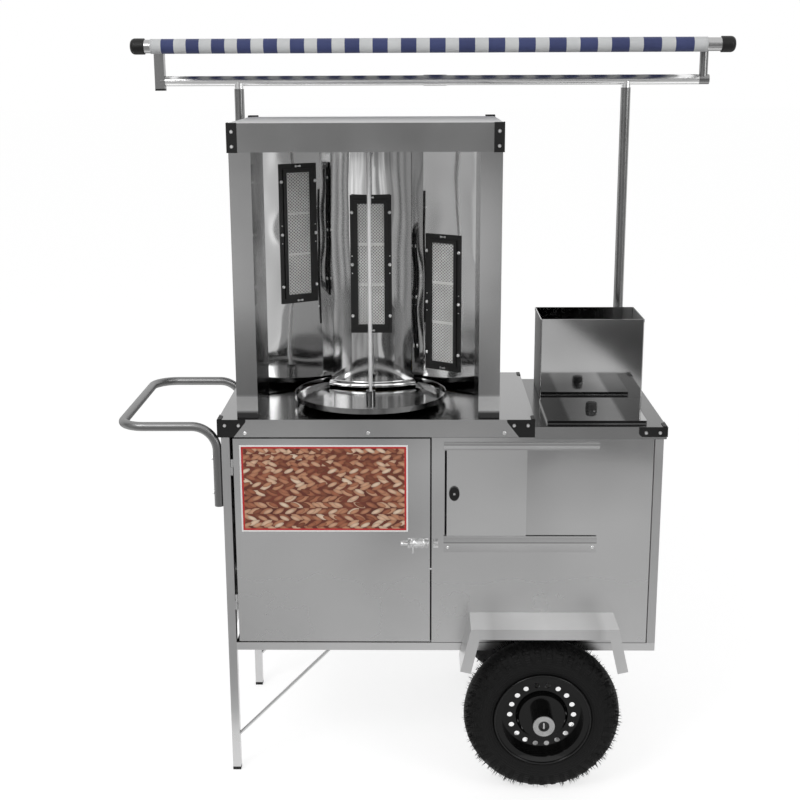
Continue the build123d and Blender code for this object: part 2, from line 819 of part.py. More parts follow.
sign_x = door_left + sign_side + sign_width / 2
sign_z = door_top - sign_drop - sign_height / 2
with BuildPart() as door_sign:
    with BuildSketch(Plane((sign_x, front_face, sign_z), x_dir=(1, 0, 0), z_dir=(0, -1, 0))):
        Rectangle(sign_width, sign_height)
    extrude(amount=sign_thick)
keep("door_sign", door_sign.part)

# Barrel bolt on the door and its keeper on the fixed panel
bolt_z = door_bottom + bolt_rise
bolt_axis_y = front_face - bolt_stand
bolt_plate_length = 2 * (guide_width + grip_room + grip_radius) + bolt_travel + guide_edge
bolt_plate_right = door_right - bolt_edge
bolt_plate_left = bolt_plate_right - bolt_plate_length
keeper_left = panel_left + bolt_edge
grip_x = bolt_plate_left + guide_width + grip_room + grip_radius


def guide(left, width):
    """A bolt guide that stands on a sheet's front face."""
    with BuildPart(mode=Mode.PRIVATE) as block:
        add(box_between((left, bolt_axis_y - bolt_radius - bolt_roof, bolt_z - guide_height / 2),
                        (left + width, front_face, bolt_z + guide_height / 2)))
        add(rod_between((left, bolt_axis_y, bolt_z), (left + width, bolt_axis_y, bolt_z),
                        bolt_radius + shaft_gap), mode=Mode.SUBTRACT)
    return block.part


with BuildPart() as bolt_plate:
    for guide_left in (bolt_plate_left, bolt_plate_right - guide_width - guide_edge):
        add(guide(guide_left, guide_width))
    add(box_between((bolt_plate_left, front_face - sheet, bolt_z - bolt_plate_height / 2),
                    (bolt_plate_right, front_face, bolt_z + bolt_plate_height / 2)))
keep("bolt_plate", bolt_plate.part)

with BuildPart() as bolt_rod:
    add(rod_between((bolt_plate_right - bolt_length, bolt_axis_y, bolt_z),
                    (bolt_plate_right, bolt_axis_y, bolt_z), bolt_radius))
    add(rod_between((grip_x, bolt_axis_y, bolt_z), (grip_x, bolt_axis_y - grip_radius, bolt_z - grip_length),
                    grip_radius))
keep("bolt_rod", bolt_rod.part)

keep("bolt_keeper", guide(keeper_left, keeper_width))

# Sliding door between its rails, with the key lock
groove_front = front_face - groove
lip_front = groove_front - sheet
rail_left = slider_left - rail_end
rail_right = slider_right + slider_travel + rail_stop
skirt_low = slider_bottom - rail_foot - rail_skirt
head_rail = [(lip_front, slider_top - rail_cover), (groove_front, slider_top - rail_cover),
             (groove_front, slider_top + slide_gap), (front_face, slider_top + slide_gap),
             (front_face, slider_top + rail_back), (lip_front, slider_top + rail_back)]
foot_rail = [(lip_front, slider_bottom + rail_cover), (groove_front, slider_bottom + rail_cover),
             (groove_front, slider_bottom), (front_face, slider_bottom), (front_face, skirt_low),
             (front_face - sheet, skirt_low), (front_face - sheet, slider_bottom - rail_foot),
             (lip_front, slider_bottom - rail_foot)]
with BuildPart() as slide_rails:
    with BuildSketch(Plane((rail_left, 0, 0), x_dir=(0, 1, 0), z_dir=(1, 0, 0))):
        for outline in (head_rail, foot_rail):
            with BuildLine():
                Polyline(*outline, close=True)
            make_face()
    extrude(amount=rail_right - rail_left)
keep("slide_rails", slide_rails.part)

slider_face = groove_front + slide_gap
slider_middle = (slider_bottom + slider_top) / 2
with BuildPart() as slide_door:
    with BuildSketch(Plane(((slider_left + slider_right) / 2, slider_face, slider_middle),
                           x_dir=(1, 0, 0), z_dir=(0, 1, 0))):
        Rectangle(slider_width, slider_height)
    extrude(amount=sheet)
keep("slide_door", slide_door.part)

lock_plane = Plane((slider_left + lock_inset, slider_face, slider_middle), x_dir=(1, 0, 0), z_dir=(0, -1, 0))
with BuildPart() as lock_body:
    with BuildSketch(lock_plane):
        Ellipse(lock_width / 2, lock_height / 2)
    extrude(amount=lock_depth)
    with BuildSketch(lock_plane.offset(lock_base)):
        Circle(plug_radius + shaft_gap)
    extrude(amount=lock_depth, mode=Mode.SUBTRACT)
keep("lock_body", lock_body.part)

with BuildPart() as lock_plug:
    with BuildSketch(lock_plane.offset(lock_base)):
        Circle(plug_radius)
    extrude(amount=lock_depth)
    with BuildSketch(lock_plane.offset(lock_base + lock_depth)):
        Rectangle(key_width, key_length)
    extrude(amount=-key_depth, mode=Mode.SUBTRACT)
keep("lock_plug", lock_plug.part)

# Wheels on one axle with end washers, and the fenders; the rear ones mirror the front ones
axle_line = Axis((axle_x, 0, wheel_radius), (0, 1, 0))
washer_start = cabinet_front - hub_reach - slide_gap
axle_end = washer_start - washer_thick + axle_recess
with BuildPart() as axle:
    with BuildSketch(Plane((axle_x, axle_end, wheel_radius), x_dir=(1, 0, 0), z_dir=(0, 1, 0))):
        Circle(axle_radius)
    extrude(amount=mirror_y(axle_end) - axle_end)
    for start in (washer_start, mirror_y(washer_start) + washer_thick):
        with BuildSketch(Plane((axle_x, start, wheel_radius), x_dir=(1, 0, 0), z_dir=(0, -1, 0))):
            Circle(hub_radius)
            Circle(axle_radius - shaft_gap, mode=Mode.SUBTRACT)
        extrude(amount=washer_thick)
keep("axle", axle.part)

hub_out = hub_reach - wheel_offset
hub_in = wheel_offset + (tube - lug_plate) / 2 - slide_gap
wheel_front_y = cabinet_front - wheel_offset
bead_inner = rim_seat + touch_gap
shoulder = wheel_radius - tread_drop
barrel_middle = rim_seat - rim_barrel / 2
roll_place = rim_radius - lip_radius
for end, out, wheel_y in (("front", -1, wheel_front_y), ("rear", 1, mirror_y(wheel_front_y))):
    wheel_plane = Plane((axle_x, wheel_y, wheel_radius), x_dir=(1, 0, 0), z_dir=(0, 0, 1))
    with BuildPart() as tyre:
        with BuildSketch(wheel_plane):
            with BuildLine():
                Line((bead_inner, -rim_half), (rim_radius, -rim_half))
                RadiusArc((rim_radius, -rim_half), (shoulder, -rim_half), -sidewall_radius)
                ThreePointArc((shoulder, -rim_half), (wheel_radius, 0), (shoulder, rim_half))
                RadiusArc((shoulder, rim_half), (rim_radius, rim_half), -sidewall_radius)
                Line((rim_radius, rim_half), (bead_inner, rim_half))
                Line((bead_inner, rim_half), (bead_inner, -rim_half))
            make_face()
        revolve(axis=axle_line)
    keep(f"tyre_{end}", tyre.part)
    disc_line = [(barrel_middle, out * disc_offset), (disc_flat, out * disc_offset),
                 (disc_flat - disc_step, out * (disc_offset + disc_rise)),
                 (hub_radius - rim_barrel, out * (disc_offset + disc_rise))]
    with BuildPart() as rim:
        with BuildSketch(wheel_plane):
            with Locations((barrel_middle, 0)):
                Rectangle(rim_barrel, 2 * (rim_half + rim_sheet))
            for flange in (-1, 1):
                with Locations(((barrel_middle + rim_radius) / 2, flange * (rim_half + rim_sheet / 2))):
                    Rectangle(rim_radius - barrel_middle, rim_sheet)
                with Locations((roll_place, flange * (rim_half + rim_sheet + lip_radius / 2))):
                    Circle(lip_radius)
            with BuildLine():
                Polyline(*strip_outline(disc_line, out * disc_sheet), close=True)
            make_face()
            with Locations(((hub_radius + axle_radius + shaft_gap) / 2, out * (hub_out - hub_in) / 2)):
                Rectangle(hub_radius - axle_radius - shaft_gap, hub_out + hub_in)
        revolve(axis=axle_line)
        with BuildSketch(Plane((axle_x, wheel_y, wheel_radius), x_dir=(1, 0, 0), z_dir=(0, out, 0))):
            with PolarLocations(vent_ring, vent_count):
                Circle(vent_radius)
        extrude(amount=rim_half, mode=Mode.SUBTRACT)
    keep(f"rim_{end}", rim.part)

fender_top = 2 * wheel_radius + fender_clear
fender_foot = fender_top - fender_drop
fender_line = [(-fender_half - fender_splay, fender_foot), (-fender_half, fender_top),
               (fender_half, fender_top), (fender_half + fender_splay, fender_foot)]
with BuildPart() as fenders:
    for out, face in ((-1, front_face), (1, rear_face)):
        fender_plane = Plane((axle_x, face, 0), x_dir=(-out, 0, 0), z_dir=(0, out, 0))
        for thick, start, amount in ((sheet, 0, fender_reach), (fender_lip, fender_reach - sheet, sheet)):
            with BuildSketch(fender_plane.offset(start)):
                with BuildLine():
                    Polyline(*strip_outline(fender_line, -thick), close=True)
                make_face()
            extrude(amount=amount)
keep("fenders", fenders.part)

# Push handle: one bent tube bolted to the outside of both left legs
arm_x = cabinet_left - handle_reach + handle_radius
handle_sides = [place[1] for place in leg_places]
handle_points = [Vector(handle_x, handle_sides[0], handle_foot),
                 Vector(handle_x, handle_sides[0], handle_height),
                 Vector(arm_x, handle_sides[0], handle_height),
                 Vector(arm_x, handle_sides[1], handle_height),
                 Vector(handle_x, handle_sides[1], handle_height),
                 Vector(handle_x, handle_sides[1], handle_foot)]
with BuildPart() as handle_bar:
    with BuildLine() as handle_path:
        FilletPolyline(*handle_points, radius=handle_bend)
    with BuildSketch(Plane(handle_points[0])):
        Circle(handle_radius)
        Circle(handle_radius - handle_wall, mode=Mode.SUBTRACT)
    sweep(path=handle_path.wire())
    for bolt_y in handle_sides:
        for height in handle_bolt_heights:
            add(rod_between((handle_x - 2 * handle_radius, bolt_y, height), (leg_inner, bolt_y, height),
                            handle_bolt_radius + shaft_gap), mode=Mode.SUBTRACT)
keep("handle_bar", handle_bar.part)

bolt_head_x = handle_x - handle_radius
with BuildPart() as handle_bolts:
    for bolt_y in handle_sides:
        for height in handle_bolt_heights:
            add(rod_between((bolt_head_x, bolt_y, height), (cabinet_left + tube / 2, bolt_y, height),
                            handle_bolt_radius))
            with BuildSketch(Plane((bolt_head_x, bolt_y, height), x_dir=(0, 1, 0), z_dir=(-1, 0, 0))):
                RegularPolygon(handle_bolt_flats, 6)
            extrude(amount=handle_bolt_head)
keep("handle_bolts", handle_bolts.part)

# Canopy: two welded tube frames joined by a sleeve, hem tubes in black elbows, canvas around the tubes
post_y = counter_rear + bracket + touch_gap + post_radius
post_left = cabinet_left + post_left_inset
post_right = cabinet_right - post_right_inset
post_foot = frame_top - post_length
pipe_z = cooker_top + pipe_rise
riser_left = post_left - riser_left_reach
riser_right = post_right + riser_right_reach
riser_foot = pipe_z - riser_tail
pipe_join = post_left + pipe_join_reach
canopy_z = pipe_z + canopy_rise
canopy_tilt = asin(canopy_fall / (2 * canopy_half))
canopy_plane = Plane((0, post_y, canopy_z), x_dir=(1, 0, 0), z_dir=(0, -sin(canopy_tilt), cos(canopy_tilt)))
bar_end = canopy_half - hem_radius - bar_gap
riser_half = riser_side / 2


def on_canopy(x, y, z=0):
    """A point given on the canopy's own sloping plane."""
    return tuple(canopy_plane.from_local_coords(Vector(x, y, z)))


def frame_rods(post_x, riser_x, pipe_x, wall, open_end):
    """Post, cross pipe and side bar of one canopy frame, as bars that a wall thickness makes thinner."""
    radius = post_radius - wall
    return [rod_between((post_x, post_y, post_foot - open_end), (post_x, post_y, pipe_z), radius),
            rod_between((pipe_x, post_y, pipe_z), (pipe_join, post_y, pipe_z), radius),
            rod_between(on_canopy(riser_x, -bar_end - open_end),
                        on_canopy(riser_x, bar_end + open_end), radius)]


with BuildPart() as canopy_frame_left:
    for rod in frame_rods(post_left, riser_left, riser_left, 0, 0):
        add(rod)
    add(box_between((riser_left - riser_half, post_y - riser_half, riser_foot),
                    (riser_left + riser_half, post_y + riser_half, canopy_z)))
    for rod in frame_rods(post_left, riser_left, riser_left, post_wall, slide_gap):
        add(rod, mode=Mode.SUBTRACT)
    add(box_between((riser_left - riser_half + post_wall, post_y - riser_half + post_wall,
                     riser_foot - slide_gap),
                    (riser_left + riser_half - post_wall, post_y + riser_half - post_wall, canopy_z)),
        mode=Mode.SUBTRACT)
keep("canopy_frame_left", canopy_frame_left.part)

with BuildPart() as canopy_frame_right:
    for rod in frame_rods(post_right, riser_right, riser_right + pipe_over, 0, 0):
        add(rod)
    add(rod_between((riser_right, post_y, pipe_z), (riser_right, post_y, canopy_z), riser_radius))
    for rod in frame_rods(post_right, riser_right, riser_right + pipe_over - post_wall, post_wall, slide_gap):
        add(rod, mode=Mode.SUBTRACT)
    add(rod_between((riser_right, post_y, pipe_z), (riser_right, post_y, canopy_z), riser_radius - post_wall),
        mode=Mode.SUBTRACT)
keep("canopy_frame_right", canopy_frame_right.part)

with BuildPart() as pipe_sleeve:
    with BuildSketch(Plane((pipe_join - sleeve_length / 2, post_y, pipe_z), z_dir=(1, 0, 0))):
        Circle(post_radius + sheet)
        Circle(post_radius + shaft_gap, mode=Mode.SUBTRACT)
    extrude(amount=sleeve_length)
keep("pipe_sleeve", pipe_sleeve.part)

with BuildPart() as hem_tubes:
    for hem_y in (-canopy_half, canopy_half):
        add(rod_between(on_canopy(riser_left + tube_inset, hem_y), on_canopy(riser_right - tube_inset, hem_y),
                        hem_radius, sheet))
keep("hem_tubes", hem_tubes.part)


def canopy_elbow(riser, inward, hem_y, along):
    """A moulded corner that holds the end of a hem tube and the end of a side bar."""
    with BuildPart(mode=Mode.PRIVATE) as elbow:
        add(rod_between(on_canopy(riser - inward * elbow_radius, hem_y),
                        on_canopy(riser + inward * elbow_collar, hem_y), elbow_radius))
        cap = elbow.faces().sort_by(Axis.X)[0 if inward > 0 else -1]
        fillet(cap.edges(), elbow_round)
        add(rod_between(on_canopy(riser, hem_y), on_canopy(riser, hem_y + along * elbow_socket),
                        post_radius + elbow_wall))
        add(rod_between(on_canopy(riser + inward * tube_inset, hem_y),
                        on_canopy(riser + inward * elbow_socket, hem_y), hem_radius + shaft_gap),
            mode=Mode.SUBTRACT)
        add(rod_between(on_canopy(riser, hem_y + along * (canopy_half - bar_end)),
                        on_canopy(riser, hem_y + along * 2 * elbow_socket), post_radius + shaft_gap),
            mode=Mode.SUBTRACT)
    return elbow.part


with BuildPart() as corner_elbows:
    for riser, inward in ((riser_left, 1), (riser_right, -1)):
        for hem_y, along in ((-canopy_half, 1), (canopy_half, -1)):
            add(canopy_elbow(riser, inward, hem_y, along))
keep("corner_elbows", corner_elbows.part)

hem_inner = hem_radius + touch_gap
hem_outer = hem_inner + canvas_thick
canvas_left = riser_left + canvas_left_gap
canvas_right = riser_right - canvas_right_gap
with BuildPart() as canvas:
    with BuildSketch(Plane(on_canopy(canvas_left, 0), x_dir=canopy_plane.y_dir, z_dir=(1, 0, 0))):
        with Locations((-canopy_half, 0), (canopy_half, 0)):
            Circle(hem_outer)
        with Locations((0, hem_outer - canvas_thick / 2)):
            Rectangle(2 * canopy_half, canvas_thick)
        with Locations((-canopy_half, 0), (canopy_half, 0)):
            Circle(hem_inner, mode=Mode.SUBTRACT)
    extrude(amount=canvas_right - canvas_left)
keep("canvas", canvas.part)

with BuildPart() as post_clamps:
    for clamp_x in (post_left, post_right):
        for drop in clamp_drops:
            height = frame_top - drop
            add(box_between((clamp_x - clamp_width / 2, rear_face, height - clamp_height / 2),
                            (clamp_x + clamp_width / 2, post_y + post_radius + clamp_wall,
                             height + clamp_height / 2)))
        add(rod_between((clamp_x, post_y, post_foot), (clamp_x, post_y, frame_top), post_radius + shaft_gap),
            mode=Mode.SUBTRACT)
keep("post_clamps", post_clamps.part)

with BuildPart() as tube_plugs:
    with BuildSketch(Plane.XY):
        with Locations(*leg_places):
            Rectangle(tube, tube)
    extrude(amount=plug_height)
    with BuildSketch(Plane.XY.offset(plug_height)):
        with Locations(*leg_places):
            Rectangle(bore - 2 * shaft_gap, bore - 2 * shaft_gap)
    extrude(amount=plug_height)
    with BuildSketch(Plane((riser_left, post_y, riser_foot))):
        Rectangle(riser_side, riser_side)
    extrude(amount=-riser_plug)
keep("tube_plugs", tube_plugs.part)

# Black corner brackets and their screws
hood_left = cooker_left - sheet
hood_right = cooker_right + sheet
hood_low = cooker_top - fascia_height - hood_bracket_lap
screws = []


def bracket_plate(corner_x, way, corner_y, out, low, high, width, cut_width=0, cut_height=0, grow=0):
    """A bracket's face, one low corner cut away, grown round the corner by its side plate."""
    foot = [(width - cut_width, 0), (width, cut_height)] if cut_width else [(width, 0)]
    with BuildPart(mode=Mode.PRIVATE) as plate:
        with BuildSketch(Plane((corner_x, corner_y, low), x_dir=(way, 0, 0), z_dir=(0, -way, 0))):
            with BuildLine():
                Polyline((-grow, 0), *foot, (width, high - low), (-grow, high - low), close=True)
            make_face()
        extrude(amount=-out * way * bracket)
    return plate.part


with BuildPart() as corner_brackets:
    for corner_x, way in ((hood_left, 1), (hood_right, -1)):
        for corner_y, out, rise in ((hood_front, -1, hood_bracket_lap), (hood_rear, 1, hood_bracket_rise)):
            high = cooker_top + rise
            add(bracket_plate(corner_x, way, corner_y, out, hood_low, high, hood_bracket_width, grow=bracket))
            xs = sorted((corner_x - way * bracket, corner_x))
            ys = sorted((corner_y, corner_y - out * hood_bracket_side))
            add(box_between((xs[0], ys[0], hood_low), (xs[1], ys[1], high)))
            for drop in hood_screw_drops:
                screws.append((corner_x + way * hood_screw_inset, corner_y + out * bracket,
                               cooker_top - drop, out))
    for corner_x, way, low, high, cut_width, cut_height, grow in (
            (base_left, 1, base_bottom, base_top, bracket_cut_width, bracket_cut_height, bracket),
            (split_x, -1, base_bottom, base_top, bracket_cut_width, bracket_cut_height, 0),
            (counter_right, -1, counter_height - counter_bracket_height, counter_height, counter_bracket_cut,
             counter_bracket_cut, bracket)):
        for corner_y, out in ((counter_front, -1), (counter_rear, 1)):
            add(bracket_plate(corner_x, way, corner_y, out, low, high, bracket_width,
                              cut_width, cut_height, grow))
            if grow:
                xs = sorted((corner_x - way * bracket, corner_x))
                ys = sorted((corner_y, corner_y - out * bracket_side))
                add(box_between((xs[0], ys[0], low), (xs[1], ys[1], high)))
            for place in (bracket_width / 4, bracket_width * 3 / 4):
                screw_x = corner_x + way * place
                post_space = min(abs(screw_x - post_left), abs(screw_x - post_right))
                if out < 0 or post_space > post_radius + screw_radius:
                    screws.append((screw_x, corner_y + out * bracket, high - bracket_screw_drop, out))
keep("corner_brackets", corner_brackets.part)

for screw_x in (spit_x, split_x - skirt_screw_inset):
    screws.append((screw_x, counter_front, base_bottom + skirt_screw_rise, -1))
    screws.append((screw_x, counter_rear, base_bottom + skirt_screw_rise, 1))
with BuildPart() as case_screws:
    for screw_x, screw_y, screw_z, out in screws:
        with BuildSketch(Plane((screw_x, screw_y, screw_z), x_dir=(1, 0, 0), z_dir=(0, out, 0))):
            Circle(screw_radius)
        extrude(amount=screw_head, taper=screw_taper)
keep("case_screws", case_screws.part)
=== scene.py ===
from math import asin, cos, pi, radians, sin, sqrt
from random import Random

import bmesh
import bpy
from mathutils import Matrix, Vector


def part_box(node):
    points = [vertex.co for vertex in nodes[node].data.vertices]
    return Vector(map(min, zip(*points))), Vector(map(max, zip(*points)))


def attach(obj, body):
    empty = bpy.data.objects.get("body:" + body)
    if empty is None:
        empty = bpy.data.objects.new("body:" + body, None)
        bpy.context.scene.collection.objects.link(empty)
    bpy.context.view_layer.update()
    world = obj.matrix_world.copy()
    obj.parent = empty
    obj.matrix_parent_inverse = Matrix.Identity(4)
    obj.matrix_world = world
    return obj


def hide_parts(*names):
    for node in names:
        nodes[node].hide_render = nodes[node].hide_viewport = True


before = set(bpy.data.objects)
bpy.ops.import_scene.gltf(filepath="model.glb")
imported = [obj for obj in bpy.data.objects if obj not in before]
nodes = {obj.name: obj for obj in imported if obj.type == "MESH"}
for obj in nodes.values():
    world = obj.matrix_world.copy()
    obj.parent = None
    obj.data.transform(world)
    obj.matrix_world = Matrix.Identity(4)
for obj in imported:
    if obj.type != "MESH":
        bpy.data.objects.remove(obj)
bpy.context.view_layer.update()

# Measures that the looks and the pieces share, in metres
axle_x, axle_z, wheel_y = 0.285, 0.190, (-0.390, 0.220)
counter_z = 0.9
panel_y = -0.338  # front face of the door and the panels
burner_heights = (1.322, 1.245, 1.145)
camera_x = -0.014
grain_x, grain_y, grain_z = (0.03, 1, 1), (1, 0.03, 1), (1, 1, 0.03)  # noise along an axis


# Node helpers

def material(name):
    """A new node material with its shader and output."""
    mat = bpy.data.materials.new(name)
    mat.use_nodes = True
    tree = mat.node_tree
    tree.nodes.clear()
    out = tree.nodes.new("ShaderNodeOutputMaterial")
    shader = tree.nodes.new("ShaderNodeBsdfPrincipled")
    tree.links.new(shader.outputs[0], out.inputs[0])
    return mat, tree, shader


def add_node(tree, kind, inputs=None, **settings):
    """A node with its settings and inputs; an input that is a socket is linked."""
    node = tree.nodes.new("ShaderNode" + kind)
    for key, value in settings.items():
        setattr(node, key, value)
    for key, value in (inputs or {}).items():
        if isinstance(value, bpy.types.NodeSocket):
            tree.links.new(value, node.inputs[key])
        else:
            node.inputs[key].default_value = value
    return node


def math(tree, operation, a, b=0.0, c=0.0):
    return add_node(tree, "Math", {0: a, 1: b, 2: c}, operation=operation).outputs[0]


def grey(value):
    return (value, value, value)


def ramp(tree, factor, stops, interpolation="LINEAR"):
    """A colour ramp through (place, colour) stops."""
    node = add_node(tree, "ValToRGB", {0: factor})
    node.color_ramp.interpolation = interpolation
    elements = node.color_ramp.elements
    while len(elements) < len(stops):
        elements.new(1.0)
    for element, (place, colour) in zip(elements, stops):
        element.position = place
        element.color = (*colour, 1)
    return node.outputs[0]


def greys(stops):
    """Ramp stops from (place, grey tone) pairs."""
    return [(place, grey(tone)) for place, tone in stops]


def shade(tree, factor, start, low, end, high):
    """A grey that runs from low to high between two places of a factor."""
    return ramp(tree, factor, greys([(start, low), (end, high)]))


def coords(tree, scale=(1, 1, 1)):
    """Object coordinates in metres, stretched by a scale."""
    place = add_node(tree, "TexCoord").outputs["Object"]
    return add_node(tree, "Mapping", {"Vector": place, "Scale": scale}).outputs[0]


def axes(tree, kind="Object"):
    """The three object coordinates, or the parts of the normal, as separate sockets."""
    return add_node(tree, "SeparateXYZ", {0: add_node(tree, "TexCoord").outputs[kind]}).outputs


def noise(tree, scale, detail=3.0, stretch=(1, 1, 1)):
    inputs = {"Vector": coords(tree, stretch), "Scale": scale, "Detail": detail}
    return add_node(tree, "TexNoise", inputs).outputs[0]


def radial(tree, a, b, centre_a, centre_b):
    """The distance from a line at (centre_a, centre_b)."""
    squares = [math(tree, "POWER", math(tree, "SUBTRACT", value, centre), 2.0)
               for value, centre in ((a, centre_a), (b, centre_b))]
    return math(tree, "SQRT", math(tree, "ADD", *squares))


def between(tree, value, low, high):
    """One where a value lies between two limits, none elsewhere."""
    return math(tree, "MULTIPLY", math(tree, "GREATER_THAN", value, low),
                math(tree, "LESS_THAN", value, high))


def bump(tree, shader, height, distance, strength=1.0):
    node = add_node(tree, "Bump", {"Height": height, "Distance": distance, "Strength": strength})
    tree.links.new(node.outputs[0], shader.inputs["Normal"])
    return node


def mix(tree, factor, a, b, blend="MIX"):
    node = add_node(tree, "Mix", {0: factor}, data_type="RGBA", blend_type=blend)
    for index, value in ((6, a), (7, b)):
        if isinstance(value, bpy.types.NodeSocket):
            tree.links.new(value, node.inputs[index])
        else:
            node.inputs[index].default_value = (*value, 1)
    return node.outputs[2]


def set_socket(mat, name, value):
    """A constant on a material's shader."""
    mat.node_tree.nodes["Principled BSDF"].inputs[name].default_value = value


# Materials

def steel(name, tone, rough, spread, stretch, grain, wave, wave_scale=3.0, smear=0.03,
          tint=(1, 1, 1), dull=None):
    """Metal sheet or tube: grain along one way, faint smears and slow waves in the sheet.

    dull gives two heights and how much rougher the metal is below the lower one.
    """
    mat, tree, shader = material(name)
    shader.inputs["Metallic"].default_value = 1.0
    lines = noise(tree, 900.0, 2.0, stretch)
    smears = noise(tree, 6.0, 4.0)
    low, high = [[(tone + way * smear) * part for part in tint] for way in (-1, 1)]
    base = ramp(tree, smears, [(0.25, low), (0.75, high)])
    grained = mix(tree, math(tree, "MULTIPLY", lines, 0.6), base, high)
    tree.links.new(grained, shader.inputs["Base Color"])
    varied = shade(tree, smears, 0.3, rough, 0.75, rough + spread)
    if dull:
        low_z, high_z, more = dull
        span = {0: axes(tree)[2], 1: low_z, 2: high_z, 3: more, 4: 0.0}
        varied = math(tree, "ADD", varied, add_node(tree, "MapRange", span).outputs[0])
    tree.links.new(varied, shader.inputs["Roughness"])
    slow = add_node(tree, "Bump", {"Height": noise(tree, wave_scale, 1.0), "Distance": wave,
                                   "Strength": 1.0})
    fine = bump(tree, shader, lines, grain, 0.6)
    tree.links.new(slow.outputs[0], fine.inputs["Normal"])
    return mat


panel_steel = steel("panel_steel", 0.68, 0.11, 0.05, grain_x, 0.000010, 0.0016, 2.0,
                    dull=(0.50, 0.66, 0.15))
slider_steel = steel("slider_steel", 0.77, 0.18, 0.07, grain_z, 0.000010, 0.0010, 2.6)
side_steel = steel("side_steel", 0.50, 0.20, 0.08, grain_y, 0.000012, 0.0015, 2.0)
tube_steel = steel("tube_steel", 0.60, 0.27, 0.10, grain_z, 0.000010, 0.0003)
mirror_steel = steel("mirror_steel", 0.86, 0.05, 0.03, (1, 1, 0.02), 0.0000004, 0.0080, 5.0, 0.02)
pan_steel = steel("pan_steel", 0.30, 0.10, 0.04, (1, 1, 1), 0.000002, 0.0004, 4.0, 0.02)
chrome_tube = steel("chrome_tube", 0.46, 0.17, 0.06, grain_x, 0.000004, 0.0002)
handle_steel = steel("handle_steel", 0.235, 0.34, 0.08, grain_y, 0.000006, 0.0002)
satin_rod = steel("satin_rod", 0.90, 0.46, 0.08, grain_z, 0.000008, 0.0002)
set_socket(satin_rod, "Metallic", 0.45)
zinc = steel("zinc", 0.94, 0.30, 0.10, (1, 1, 1), 0.000010, 0.0001)
bolt_chrome = steel("bolt_chrome", 0.86, 0.08, 0.04, (1, 1, 1), 0.000002, 0.0030, 85.0)
brass = steel("brass", 0.62, 0.25, 0.10, (1, 1, 1), 0.000010, 0.0001, tint=(0.95, 0.68, 0.28))


def faced_steel(name, front, side, top, rough, top_rough, top_metal, wave, side_rough=None,
                reflection_bands=None, ends=None):
    """Polished sheet with a painted tone on each face: painted reflection and shade on the front,
    the sides and the dusty upper faces.

    reflection_bands are painted reflection tones on the front by the height above the counter,
    ends the two X places between which a painted reflection tone runs along the sheet.
    """
    mat, tree, shader = material(name)
    facing = axes(tree, "Normal")
    upward = math(tree, "GREATER_THAN", facing[2], 0.7)
    sideways = math(tree, "GREATER_THAN", math(tree, "ABSOLUTE", facing[0]), 0.7)
    smears = noise(tree, 6.0, 4.0)
    worn = shade(tree, smears, 0.25, 0.94, 0.75, 1.06)
    # Painted reflection and shade: fronts, sides and upper faces each get a tone of their own
    ahead = grey(front)
    if reflection_bands:
        ahead = ramp(tree, math(tree, "SUBTRACT", axes(tree)[2], counter_z), greys(reflection_bands))
    tone = mix(tree, upward, mix(tree, sideways, ahead, grey(side)), grey(top))
    # A painted reflection tone that runs from one end of the sheet to the other
    if ends:
        place = add_node(tree, "MapRange", {0: axes(tree)[0], 1: ends[0], 2: ends[1]}).outputs[0]
        run = ramp(tree, place, greys([(0.06, 1.0), (0.11, 0.96), (0.17, 0.82), (0.32, 1.02),
                                       (0.50, 1.13), (0.72, 1.02), (0.85, 0.84), (0.90, 1.04)]))
        tone = mix(tree, 1.0, tone, run, "MULTIPLY")
    tree.links.new(mix(tree, 1.0, tone, worn, "MULTIPLY"), shader.inputs["Base Color"])
    tree.links.new(math(tree, "MULTIPLY_ADD", upward, top_metal - 1.0, 1.0),
                   shader.inputs["Metallic"])
    level = math(tree, "MULTIPLY_ADD", upward, top_rough - rough, rough)
    level = math(tree, "MULTIPLY_ADD", sideways, (side_rough or rough) - rough, level)
    tree.links.new(math(tree, "MULTIPLY_ADD", smears, 0.05, level), shader.inputs["Roughness"])
    bump(tree, shader, noise(tree, 2.2, 1.0), wave)
    return mat


def lid_material(low, high):
    """Mirror-bright lid with a painted dark reflection towards its ends and painted shade on its
    rim.
    """
    mat, tree, shader = material("lid_steel")
    facing = axes(tree, "Normal")
    upward = math(tree, "GREATER_THAN", facing[2], 0.7)
    across = math(tree, "ABSOLUTE", math(tree, "SUBTRACT", axes(tree)[0], (low[0] + high[0]) / 2))
    # Painted reflection: light in the middle, dark towards both ends
    ends = shade(tree, math(tree, "MULTIPLY", across, 8.0), 0.48, 0.95, 0.56, 0.30)
    smears = noise(tree, 6.0, 4.0)
    worn = shade(tree, smears, 0.25, 0.94, 0.75, 1.06)
    # Painted shade: the rim faces are dark
    tone = mix(tree, upward, grey(0.12), ends)
    tree.links.new(mix(tree, 1.0, tone, worn, "MULTIPLY"), shader.inputs["Base Color"])
    shader.inputs["Metallic"].default_value = 1.0
    tree.links.new(math(tree, "MULTIPLY_ADD", smears, 0.04, 0.03), shader.inputs["Roughness"])
    bump(tree, shader, noise(tree, 3.0, 1.0), 0.0008)
    return mat


